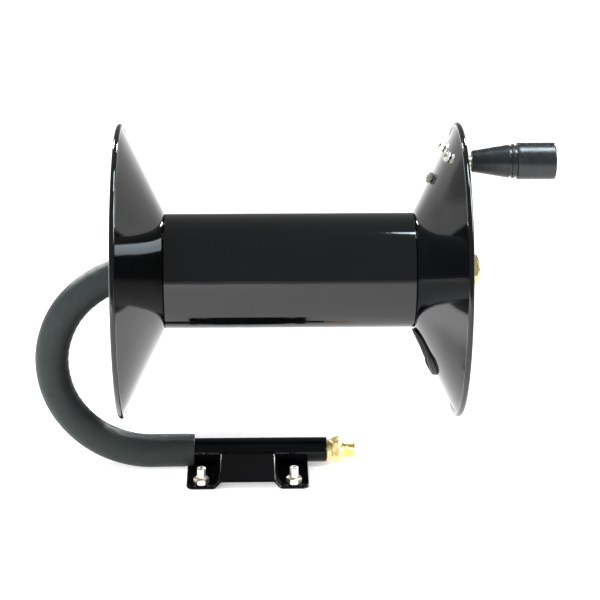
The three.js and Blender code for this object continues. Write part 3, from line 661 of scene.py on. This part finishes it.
# Each stud's X, Y and upper end.
STUDS = [(-49.0, -52.3, 21.5), (49.0, -52.3, 21.5), (49.0, 33.0, 13.2), (-49.0, 33.0, 13.2)]


def saddle_welds():
    """Lumpy beads in the groove between the pipe and the saddle's crests."""
    half = SADDLE["half_length"] - 3

    def lumpy(s, angles, radius):
        ripple = 0.16 * math.sin(2 * math.pi * s / 2.7) + 0.1 * math.sin(0.9 * s + 1)
        end = min(1, (half - abs(s)) / 3 + 0.35)
        return np.full(len(angles), radius * end) * (1 + ripple / 2)

    beads = []
    for side in (-1, 1):
        profile = [(s, 2.0) for s in np.linspace(-half, half, 120)]
        profile = [(-half - 0.4, 0)] + profile + [(half + 0.4, 0)]
        beads.append(moved(turned(profile, 32, along_x, lumpy),
                           Matrix.Translation((0, side * 14.7, 19.0))))
    piece("saddle_welds", joined(*beads), BASE, "mount", "enamel", sharp=60)


def base_studs():
    for i, (x, y, top) in enumerate(STUDS):
        profile = rounded([
            (0, 0), (0, 6.6, 0.3), (1.2, 6.6, 0.3), (1.2, 4.76), (top, 4.76, 0.9), (top, 2.4, 0.3),
            (top - 0.9, 1.5, 0.3), (top - 0.9, 0),
        ], loop=False)
        fine = finely(profile, 0.2, loop=False, within=(2, top), above=3.6)
        shape = turned(fine, 72, along_x, thread_shape(1.5875, 0.5, 2.0, top + 0.9, 3.6))
        spin = Matrix.Rotation(0.9 * i, 4, "X")
        piece(f"stud_{i + 1}", moved(shape, spin), BASE @ upright(x, y), "mount", "zinc",
              f"base_stud_{i + 1}", sharp=40)
        start, end = PLATE_THICKNESS + GAP, PLATE_THICKNESS + GAP + 6.6
        nut = hex_nut(start, end, 14.3, 5.1)
        piece(f"nut_{i + 1}", nut, BASE @ upright(x, y) @ Matrix.Rotation(NUT_TURNS[i], 4, "X"),
              "mount", "zinc", f"base_nut_{i + 1}", sharp=24)


NUT_TURNS = [0.0, 0.0, 0.25, 0.4]


def hex_nut(start, end, across_flats, bore, chamfer=1.0):
    corner = across_flats / math.sqrt(3)
    profile = rounded([
        (start, bore + 0.5), (start, corner), (end, corner), (end, bore + 0.5), (end - 0.7, bore),
        (start + 0.7, bore),
    ])
    return turned(finely(profile, 0.35), 144, along_x,
                  hex_shape(across_flats, start, end, chamfer, bore + 1.2))


# ---- axle fittings that stand still -----------------------------------------------------------
BUSHING_FACE_X = WEB_X + SHEET + GAP + 3.0
WASHER_X = BUSHING_FACE_X + GAP
COLLAR_X = WASHER_X + 1.5 + GAP


def axle_stop(side, place):
    washer = rounded([
        (WASHER_X, BORE_RADIUS, 0.2), (WASHER_X, 24, 0.35), (WASHER_X + 1.5, 24, 0.35),
        (WASHER_X + 1.5, BORE_RADIUS, 0.2),
    ])
    piece(f"washer_{side}", turned(washer, 128), place, "mount", "zinc", f"thrust_washer_{side}")
    collar = rounded([
        (COLLAR_X, BORE_RADIUS, 0.5), (COLLAR_X, 21, 0.8), (COLLAR_X + 10, 21, 0.8),
        (COLLAR_X + 10, BORE_RADIUS, 0.5),
    ])
    middle = COLLAR_X + 5
    ring = mesh_object(f"collar_{side}", turned(finely(collar, 2.5), 128))
    carve(ring, moved(turned([(3, 0), (3, 2.9), (26, 2.9), (26, 0)], 48), upright(middle, 0)))
    finish_piece(ring, place, "mount", "zinc", [f"axle_collar_{side}"])
    screw = mesh_object(f"set_screw_{side}", moved(turned(finely(rounded([
        (PIPE_RADIUS + GAP, 0), (PIPE_RADIUS + GAP, 2.6, 0.4), (20.4, 2.6, 0.5), (20.4, 0),
    ], loop=False), 0.3, loop=False), 48, along_x, thread_shape(0.8, 0.25, 14, 20.3, 2.0)),
        upright(middle, 0)))
    socket = turned([(17, 0), (17, 1.5), (22, 1.5), (22, 0)], 6)
    carve(screw, moved(socket, upright(middle, 0)))
    finish_piece(screw, place, "mount", "zinc", [f"collar_set_screw_{side}"])


def swivel_stem():
    hex_start, hex_end = AXLE_END_X + GAP, 158.0 - GAP
    journal_end = 187.0 - 3.5
    corners = [
        (AXLE_END_X - 14, 4.8), (AXLE_END_X - 14, PIPE_BORE_RADIUS - GAP, 0.4),
        (hex_start, PIPE_BORE_RADIUS - GAP), (hex_start, 14.6), (hex_end, 14.6), (hex_end, 8.0),
    ]
    for x in (163.5, 175.5):
        corners += [(x - 1.3, 8.0), (x - 1.3, 6.4), (x + 1.3, 6.4), (x + 1.3, 8.0)]
    corners += [(journal_end, 8.0, 0.6), (journal_end, 4.8, 0.3)]
    shape = hex_shape(25.4, hex_start, hex_end, 1.1, 9.5)
    piece("stem_brass", turned(finely(rounded(corners), 0.3), 144, along_x, shape), REEL, "mount",
          "brass", "swivel_stem", sharp=28)


# ---- reel --------------------------------------------------------------------------------------


def drum_shell():
    inner = DRUM_RADIUS - SHEET
    profile = rounded([
        (-DRUM_HALF_LENGTH, inner, 0.3), (-DRUM_HALF_LENGTH, DRUM_RADIUS, 0.6),
        (DRUM_HALF_LENGTH, DRUM_RADIUS, 0.6), (DRUM_HALF_LENGTH, inner, 0.3),
    ])
    piece("drum_shell", turned(finely(profile, 20.0), 256), REEL, "reel", "enamel", "drum")


def flange_profile():
    """A pressed pan: flat centre set into the drum, a cone with pressed corners, a rolled rim."""
    spigot = DRUM_RADIUS - SHEET - GAP
    corners = [
        (WEB_X, 20.0, 0.4), (WEB_X, spigot, 3.0), (NECK_X - 0.05, spigot, 0.4),
        (NECK_X - 0.05, DRUM_RADIUS - 0.4, 0.5),
    ]
    profile = rounded(corners, loop=False)
    profile = [np.array(corners[0][:2])] + profile[1:-1]
    cone_start = np.array((cone_x(DRUM_RADIUS), DRUM_RADIUS))
    cone_end = np.array((cone_x(RIM_SHEET_RADIUS - 1.5), RIM_SHEET_RADIUS - 1.5))
    drum_side = [cone_start + (cone_end - cone_start) * t for t in np.linspace(0, 1, 26)]
    profile += drum_side
    first = math.asin(SHEET / 2 / RIM_BEAD_RADIUS)
    for turn in np.linspace(first, 2 * math.pi - first, 30):
        along = -RIM_BEAD_RADIUS * math.cos(turn)
        across = -RIM_BEAD_RADIUS * math.sin(turn)
        profile.append(np.array((
            RIM_X + along * math.sin(CONE_ANGLE) + across * math.cos(CONE_ANGLE),
            RIM_SHEET_RADIUS + along * math.cos(CONE_ANGLE) - across * math.sin(CONE_ANGLE))))
    step_x = np.array((SHEET_ALONG_X, 0))
    profile += [point + step_x for point in drum_side[::-1]]
    inner_wall = spigot - SHEET
    profile += rounded([
        (NECK_X + SHEET_ALONG_X + 0.4, DRUM_RADIUS + 0.4), (NECK_X + 0.6, inner_wall, 2.0),
        (WEB_X + SHEET, inner_wall, 2.0), (WEB_X + SHEET, 20.0, 0.4),
        (WEB_X + SHEET - 0.5, 20.0),
    ], loop=False)[1:-1]
    return profile


def flange(side, place):
    pan = mesh_object(f"pan_{side}", turned(finely(flange_profile(), 9.0), 288))
    if side == "right":
        slot = prism(stadium(65, 106, 29), NECK_X - 8, RIM_X + 12)
        carve(pan, moved(slot, spoke(SLOT_ANGLE)))
    finish_piece(pan, place, "reel", "enamel", [f"flange_{side}"], sharp=38)


def stadium(low, high, width, steps=36):
    """Points (y, z) round a slot that stands along Z, from its right side upwards."""
    radius = width / 2
    points = []
    for centre, start in ((high - radius, 0.0), (low + radius, math.pi)):
        for k in range(steps + 1):
            angle = start + math.pi * k / steps
            points.append((radius * math.cos(angle), centre + radius * math.sin(angle)))
    return points


def hub_bushing(side, place):
    web_face = WEB_X + SHEET + GAP
    barrel = 20.0 - GAP
    profile = rounded([
        (web_face - 8.5, BORE_RADIUS, 0.5), (web_face - 8.5, barrel, 0.6), (web_face, barrel),
        (web_face, 27, 0.4), (BUSHING_FACE_X, 27, 0.7), (BUSHING_FACE_X, BORE_RADIUS, 0.5),
    ])
    piece(f"bushing_{side}", turned(finely(profile, 3.0), 128), place, "reel", "nylon",
          f"hub_bushing_{side}")


def tie_rod_ends():
    for i in range(3):
        spin = spoke(math.radians(60 + 120 * i))
        out = Matrix.Translation((0, 0, 42.0))
        for side, start in (("right", WEB_X + SHEET + GAP), ("left", -WEB_X - SHEET - GAP - 5)):
            nut = hex_nut(start, start + 5, 10.0, 3.35, 0.8)
            nut = moved(nut, Matrix.Rotation(0.5 * i, 4, "X"))
            piece(f"rod_nut_{side}_{i + 1}", nut, REEL @ spin @ out, "reel", "zinc",
                  f"tie_rod_nut_{side}_{i + 1}", sharp=24)
        half = WEB_X + SHEET + 8.0
        profile = finely(rounded([(half - 9, 0), (half - 9, 3.0), (half, 3.0, 0.6), (half, 0)],
                                 loop=False), 0.12, loop=False)
        end = turned(profile, 48, along_x, thread_shape(1.0, 0.36, half - 9, half + 0.5, 2.2))
        middle = turned(rounded([(9 - half, 0), (9 - half, 3.0), (half - 9, 3.0), (half - 9, 0)],
                                loop=False), 48)
        rod = joined(middle, end, moved(end, LEFT_END))
        piece(f"rod_{i + 1}", rod, REEL @ spin @ out, "reel", "zinc", f"tie_rod_{i + 1}", sharp=50)


def swivel():
    start, end, flats = 158.0, 187.0, 27.0
    bore = 8.35
    hexed = rounded([(start, bore, 0.4), (start, 15.6), (end, 15.6), (end, bore, 0.4)])
    body = mesh_object("swivel_block", turned(
        finely(hexed, 0.5), 144, along_x, hex_shape(flats, start, end, 1.3, bore + 1.2)))
    boss = rounded([(10, 0), (10, 9.5), (19, 9.5, 0.8), (19, 0)], loop=False)
    carve(body, moved(turned(boss, 96), upright(169.5, 0)), "UNION")
    port = turned([(2, 0), (2, 6.5), (22, 6.5), (22, 0)], 72)
    carve(body, moved(port, upright(169.5, 0)))
    finish_piece(body, SLOT, "reel", "brass", ["swivel_body"], sharp=26)

    cap_start, cap_end, boss_end = 187.0 + GAP, 197.0, 199.0
    cap = rounded([
        (184, 0), (184, 8.0, 0.4), (cap_start, 8.0), (cap_start, 15.6), (cap_end, 15.6),
        (cap_end, 10.5, 0.3), (boss_end, 10.5, 0.9), (boss_end, 3.2, 0.4),
        (boss_end - 1.2, 2.2, 0.5), (boss_end - 1.2, 0),
    ], loop=False)
    shape = hex_shape(flats, cap_start, cap_end, 1.5, 10.7)
    piece("swivel_end", turned(finely(cap, 0.35, loop=False), 144, along_x, shape), SLOT, "reel",
          "brass", "swivel_cap", sharp=26)

    shoulder, nipple_end = 19.3, 41.3
    nipple = rounded([
        (9.5, 4.5), (9.5, 6.2, 0.4), (shoulder, 6.2), (shoulder, 10.9), (shoulder + 7, 10.9),
        (shoulder + 7, 7.6, 0.3), (shoulder + 8.4, 7.6), (shoulder + 9.2, 8.3, 0.3),
        (nipple_end, 8.3, 0.9), (nipple_end, 4.5, 0.5),
    ])
    outline = hex_shape(19.0, shoulder, shoulder + 7, 1.0, 8.6)
    shape = thread_shape(1.411, 0.6, shoulder + 9.4, nipple_end + 0.8, 7.7, outline)
    fine = finely(nipple, 0.22, within=(shoulder, nipple_end), above=5.5)
    piece("outlet_brass", turned(fine, 144, along_x, shape), SLOT @ upright(169.5, 0), "reel",
          "brass", "outlet_nipple", sharp=35)


def hose_grommet():
    """A lipped rubber edging that follows the slot, thicker at its outer end."""
    low, high, width = 65.0, 106.0, 29.0
    edge = np.array(stadium(low, high, width, 40))
    ahead, behind = np.roll(edge, -1, axis=0), np.roll(edge, 1, axis=0)
    direction = (ahead - behind) / np.linalg.norm(ahead - behind, axis=1, keepdims=True)
    outwards = np.stack((direction[:, 1], -direction[:, 0]), axis=-1)
    recess = SHEET_ALONG_X + GAP
    verts, count = [], None
    for (y, z), (out_y, out_z) in zip(edge, outwards):
        outer = min(max((z - (high - width / 2) + 4) / 10, 0), 1)
        lip = 2.6 + 2.7 * outer * outer * (3 - 2 * outer)
        section = rounded([
            (-3.3, -GAP - 2.6, 0.9), (-0.5, -GAP - lip, 1.2), (4.0, -GAP - lip, 1.4),
            (4.0, -GAP, 0.3), (-GAP, -GAP, 0.1), (-GAP, recess, 0.1), (4.0, recess, 0.3),
            (4.0, recess + 2.6, 1.2), (-3.3, recess + 2.6, 1.2),
        ], steps=5)
        count = len(section)
        for across, through in section:
            at_y, at_z = y + out_y * across, z + out_z * across
            verts.append((cone_x(math.hypot(at_y, at_z)) + through, at_y, at_z))
    total = len(edge)
    faces = []
    for i in range(total):
        for j in range(count):
            k, m = (i + 1) % total, (j + 1) % count
            faces.append([i * count + j, k * count + j, k * count + m, i * count + m])
    piece("slot_edging", facing_out(np.array(verts), faces), SLOT, "reel", "rubber",
          "hose_grommet", sharp=60)


# ---- crank -------------------------------------------------------------------------------------
BRACKET_SCREWS = [(127.0, math.radians(-12.3)), (127.0, math.radians(12.3)), (97.0, 0.0)]
BRACKET_FACE_X = 182.0
BRACKET_SHEET = 2.3
BRACKET_DOME_RADIUS = 118.0


def bracket_outline(count=288):
    """Points (y, z) round three ears, spaced by angle about the spindle."""
    ears = [np.array((-r * math.sin(a), r * math.cos(a))) for r, a in BRACKET_SCREWS]
    centre = np.array((0.0, CRANK_RADIUS))
    points = []
    for k in range(count):
        angle = 2 * math.pi * k / count
        ray = np.array((math.cos(angle), math.sin(angle)))
        reach = 0.0
        for i in range(3):
            for t in np.linspace(0, 1, 81):
                ear = ears[i] + (ears[(i + 1) % 3] - ears[i]) * t - centre
                along = ear @ ray
                off = 8.5 ** 2 - (ear @ ear - along ** 2)
                if off > 0:
                    reach = max(reach, along + math.sqrt(off))
        points.append(centre + ray * reach)
    return np.array(points)


def bracket_height(y, z):
    """X of the bracket's outer face: a foot on the cone that rises into a round dome."""
    foot = cone_x(np.hypot(y, z)) + SHEET_ALONG_X + GAP + BRACKET_SHEET
    from_dome = np.hypot(y, z - BRACKET_DOME_RADIUS)
    part = np.clip((from_dome - 10.5) / 7.6, 0, 1)
    rise = 1 - part * part * part * (part * (6 * part - 15) + 10)
    return foot + (BRACKET_FACE_X - foot) * rise


def handle_bracket():
    outline = bracket_outline()
    centre = np.array((0.0, CRANK_RADIUS))
    direction = outline - centre
    hole = centre + direction / np.linalg.norm(direction, axis=1, keepdims=True) * 4.35
    parts = np.concatenate((np.linspace(0, 0.985, 70), [0.993, 0.998, 1.0]))
    grid = hole[None] + (outline - hole)[None] * parts[:, None, None]
    y, z = grid[..., 0], grid[..., 1]
    step = 0.05
    slope_y = (bracket_height(y + step, z) - bracket_height(y - step, z)) / (2 * step)
    slope_z = (bracket_height(y, z + step) - bracket_height(y, z - step)) / (2 * step)
    normal = np.stack((np.ones_like(y), -slope_y, -slope_z), axis=-1)
    normal /= np.linalg.norm(normal, axis=-1, keepdims=True)
    outer = np.stack((bracket_height(y, z), y, z), axis=-1)
    outer[-1] -= normal[-1] * 0.35
    outer[-2] -= normal[-2] * 0.1
    inner = np.stack((bracket_height(y, z), y, z), axis=-1) - normal * BRACKET_SHEET
    inner[0, :, 1:] = outer[0, :, 1:]
    inner[-1, :, 1:] = outer[-1, :, 1:]
    rings, count = y.shape
    skin = np.concatenate((outer, inner[::-1]))
    faces = []
    for i in range(2 * rings):
        for j in range(count):
            k, m = (i + 1) % (2 * rings), (j + 1) % count
            faces.append([i * count + j, k * count + j, k * count + m, i * count + m])
    piece("crank_bracket", facing_out(skin.reshape(-1, 3), faces), CRANK, "reel", "zinc",
          "handle_bracket", sharp=42)


def bracket_screws():
    head_start = SHEET + GAP / math.cos(CONE_ANGLE) + BRACKET_SHEET + GAP
    nut_end = -GAP
    shank_end = nut_end - 5.0 - 1.0
    for i, (radius, angle) in enumerate(BRACKET_SCREWS):
        place = CRANK @ spoke(angle) @ on_cone(radius)
        profile = rounded([
            (shank_end, 0), (shank_end, 2.9, 0.6), (head_start, 2.9), (head_start, 4.6, 0.3),
            (head_start + 1.3, 4.4, 1.0), (head_start + 2.7, 2.4, 1.6), (head_start + 3.0, 0),
        ], loop=False)
        screw = mesh_object(f"screw_{i + 1}", turned(
            finely(profile, 0.15, loop=False), 72, along_x,
            thread_shape(1.0, 0.34, shank_end - 0.5, head_start - 0.2, 2.2)))
        for turn in (0, math.pi / 2):
            blade = prism([(-0.45, -2.5), (0.45, -2.5), (0.45, 2.5), (-0.45, 2.5)],
                          head_start + 1.4, head_start + 4)
            carve(screw, moved(blade, Matrix.Rotation(turn + 0.6 * i, 4, "X")))
        finish_piece(screw, place, "reel", "zinc", [f"bracket_screw_{i + 1}"])
        nut = moved(hex_nut(nut_end - 5.0, nut_end, 10.0, 3.25, 1.1),
                    Matrix.Rotation(0.35 + 0.8 * i, 4, "X"))
        piece(f"screw_nut_{i + 1}", nut, place, "reel", "zinc", f"bracket_nut_{i + 1}", sharp=24)


def spindle():
    nut_end = BRACKET_FACE_X - BRACKET_SHEET - GAP
    head_start = 260.0
    profile = rounded([
        (nut_end - 9, 0), (nut_end - 9, 4.0, 0.6), (head_start, 4.0), (head_start, 7.0, 0.5),
        (head_start + 5, 7.0, 1.2), (head_start + 5, 0),
    ], loop=False)
    piece("spindle_bolt", turned(finely(profile, 0.6, loop=False), 72), SPINDLE, "reel", "zinc",
          "grip_spindle")
    start, end = BRACKET_FACE_X + GAP, grip_low[0] - SHIFT_X - GAP
    profile = rounded([(start, 4.35, 0.2), (start, 5.6, 0.5), (start + 2.2, 5.6, 0.2),
                       (start + 2.5, 5.2, 0.2), (end - 0.9, 5.2, 0.2), (end - 0.7, 5.6, 0.3),
                       (end, 5.6, 0.4), (end, 4.35, 0.2)])
    piece("spindle_collar", turned(finely(profile, 0.6), 96), SPINDLE, "reel", "zinc",
          "spindle_spacer")
    lock = hex_nut(nut_end - 7, nut_end, 13.0, 4.35)
    piece("spindle_nut", lock, SPINDLE, "reel", "zinc", "spindle_lock_nut", sharp=24)


def grip():
    start, end = grip_low[0] - SHIFT_X, grip_high[0] - SHIFT_X
    groove_1, groove_2, groove = start + 38.2, start + 43.8, 2.4
    small, taper, large, seat = 11.0, 16.8, 19.0, 15.0
    profile = rounded([
        (start, 4.35, 0.3), (start, small, 0.9), (start + 35.5, taper, 3.0),
        (groove_1 - 0.2, taper + 0.5, 0.5), (groove_1, taper - 0.75, 0.25),
        (groove_1 + groove, taper - 0.75, 0.25), (groove_1 + groove + 0.2, taper + 0.8, 0.5),
        (groove_2 - 0.2, taper + 1.1, 0.5), (groove_2, taper - 0.45, 0.25),
        (groove_2 + groove, taper - 0.45, 0.25), (groove_2 + groove + 0.2, large - 0.3, 0.6),
        (groove_2 + 5, large, 2.0), (end - 0.4, large, 2.4), (end - 0.4, seat, 0.25),
        (end - 4.5, seat), (end - 4.5, 8.0), (end - 15.3, 8.0), (end - 15.3, 4.35),
    ], steps=6)
    piece("grip_sleeve", turned(finely(profile, 2.0), 160), SPINDLE, "grip", "grip_plastic", "grip",
          sharp=40)
    cap = rounded([
        (end - 4.2, 0), (end - 4.2, seat - GAP, 0.3), (end - 0.5, seat - GAP, 0.5),
        (end, seat - 3, 1.5), (end, 5.0, 0.5), (end - 0.5, 4.4, 0.4), (end - 0.5, 0),
    ], loop=False)
    piece("grip_cap", turned(finely(cap, 2.0, loop=False), 128), SPINDLE, "grip", "grip_plastic",
          "grip_end_cap", sharp=40)


LEFT_REEL = REEL @ LEFT_END

arm_pipe()
foam_sleeve()
inlet_fitting()
base_plate()
saddle_welds()
base_studs()
for side_name, side_place in (("left", LEFT_REEL), ("right", REEL)):
    axle_stop(side_name, side_place)
    hub_bushing(side_name, side_place)
    flange(side_name, side_place)
swivel_stem()
drum_shell()
tie_rod_ends()
swivel()
hose_grommet()
handle_bracket()
bracket_screws()
spindle()
grip()

# The seals inside the swivel stay as the CAD has them.
for seal in ("swivel_seal_1", "swivel_seal_2"):
    for material_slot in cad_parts[seal].material_slots:
        material_slot.material = MATERIALS["rubber"]

# ---- floor, light and camera, in metres ----------------------------------------------------------
FLOOR_SIZE = 40.0
FLOOR_DROP = 0.0004
FLOOR_GREY = 0.88
FLOOR_GLOW = 0.4
STUDIO_GREY = 0.3


def floor():
    """A plain pale floor, the same all over and to every ray."""
    size = FLOOR_SIZE
    mesh = bpy.data.meshes.new("floor")
    corners = [(-size, -size, 0), (size, -size, 0), (size, size, 0), (-size, size, 0)]
    mesh.from_pydata(corners, [], [(0, 1, 2, 3)])
    plane = bpy.data.objects.new("floor", mesh)
    plane.location.z = -FLOOR_DROP
    bpy.context.scene.collection.objects.link(plane)
    material = bpy.data.materials.new("paper_floor")
    material.use_nodes = True
    tree = material.node_tree
    tree.nodes.clear()
    matt, glow = tree.nodes.new("ShaderNodeBsdfDiffuse"), tree.nodes.new("ShaderNodeEmission")
    matt.inputs["Color"].default_value = (FLOOR_GREY, FLOOR_GREY, FLOOR_GREY, 1)
    glow.inputs["Strength"].default_value = FLOOR_GLOW
    both = tree.nodes.new("ShaderNodeAddShader")
    tree.links.new(matt.outputs["BSDF"], both.inputs[0])
    tree.links.new(glow.outputs["Emission"], both.inputs[1])
    out = tree.nodes.new("ShaderNodeOutputMaterial")
    tree.links.new(both.outputs["Shader"], out.inputs["Surface"])
    mesh.materials.append(material)


def studio():
    """Even, neutral light from all round."""
    world = bpy.data.worlds.new("studio")
    bpy.context.scene.world = world
    world.use_nodes = True
    world.node_tree.nodes["Background"].inputs["Strength"].default_value = STUDIO_GREY
    world.node_tree.nodes["Background"].inputs["Color"].default_value = (1, 1, 1, 1)


def area_light(name, place, target, size, power, colour=(1, 1, 1), gloss=True, matt=True,
               spread=180):
    """Seen only in what it lights: by reflection (gloss), on matt surfaces (matt), or both."""
    light = bpy.data.lights.new(name, "AREA")
    light.shape = "RECTANGLE"
    light.size, light.size_y = size
    light.energy = power
    light.color = colour
    light.spread = math.radians(spread)
    obj = bpy.data.objects.new(name, light)
    obj.location = place
    obj.rotation_euler = (Vector(target) - Vector(place)).to_track_quat("-Z", "Y").to_euler()
    obj.visible_glossy, obj.visible_diffuse = gloss, matt
    obj.visible_camera = False
    bpy.context.scene.collection.objects.link(obj)


def camera():
    """Looks down on the drum's middle from the front, a little from the left."""
    distance, elevation, azimuth, roll = 2.099, math.radians(21.6), math.radians(1.36), 0.0028
    offset_x, offset_y = -0.0111, 0.0308
    target = Vector((SHIFT_X * MM, 0, AXIS_Z * MM))
    back = Vector((-math.sin(azimuth) * math.cos(elevation),
                   -math.cos(azimuth) * math.cos(elevation), math.sin(elevation)))
    right = Vector((math.cos(azimuth), -math.sin(azimuth), 0))
    up = back.cross(right)
    rolled_right = math.cos(roll) * right + math.sin(roll) * up
    rolled_up = math.cos(roll) * up - math.sin(roll) * right
    place = target - offset_x * rolled_right - offset_y * rolled_up + distance * back
    data = bpy.data.cameras.new("camera")
    data.sensor_width, data.lens = 36.0, 120.64
    data.clip_start, data.clip_end = 0.1, FLOOR_SIZE
    obj = bpy.data.objects.new("camera", data)
    axes = Matrix((rolled_right, rolled_up, back)).transposed().to_4x4()
    obj.matrix_world = Matrix.Translation(place) @ axes
    bpy.context.scene.collection.objects.link(obj)
    bpy.context.scene.camera = obj


floor()
studio()
area_light("overhead", (-0.8, -0.3, 2.4), (0, 0, 0), (2.6, 2.6), 115, gloss=False)
area_light("key", (-1.9, -1.1, 0.6), (-0.15, 0, 0.12), (1.1, 1.1), 48, gloss=False)
area_light("front", (-1.1, -2.1, 0.5), (-0.1, 0, 0.03), (0.6, 0.6), 45, gloss=False)
area_light("grip_top", (0.46, 0.12, 1.5), (0.23, 0, 0.34), (0.4, 0.42), 15, (0.8, 0.93, 1),
           matt=False)
area_light("back_right", (0.93, 1.5, 0.88), (-0.02, 0, 0.01), (0.4, 0.6), 1.5, matt=False,
           spread=14)
area_light("back_left", (-1.02, 1.5, 0.88), (-0.07, 0, 0.01), (0.4, 0.6), 1.5, matt=False,
           spread=14)
area_light("right_high", (1.6, 0.05, 1.3), (-0.14, 0, 0.25), (0.8, 1.0), 50, (0.8, 0.92, 1),
           matt=False)
area_light("inlet", (0.42, -0.35, 0.2), (0.05, 0, 0.02), (0.2, 0.2), 0.45, (1, 0.97, 0.9),
           matt=False, spread=28)
camera()
bpy.context.scene.view_settings.view_transform = "Standard"
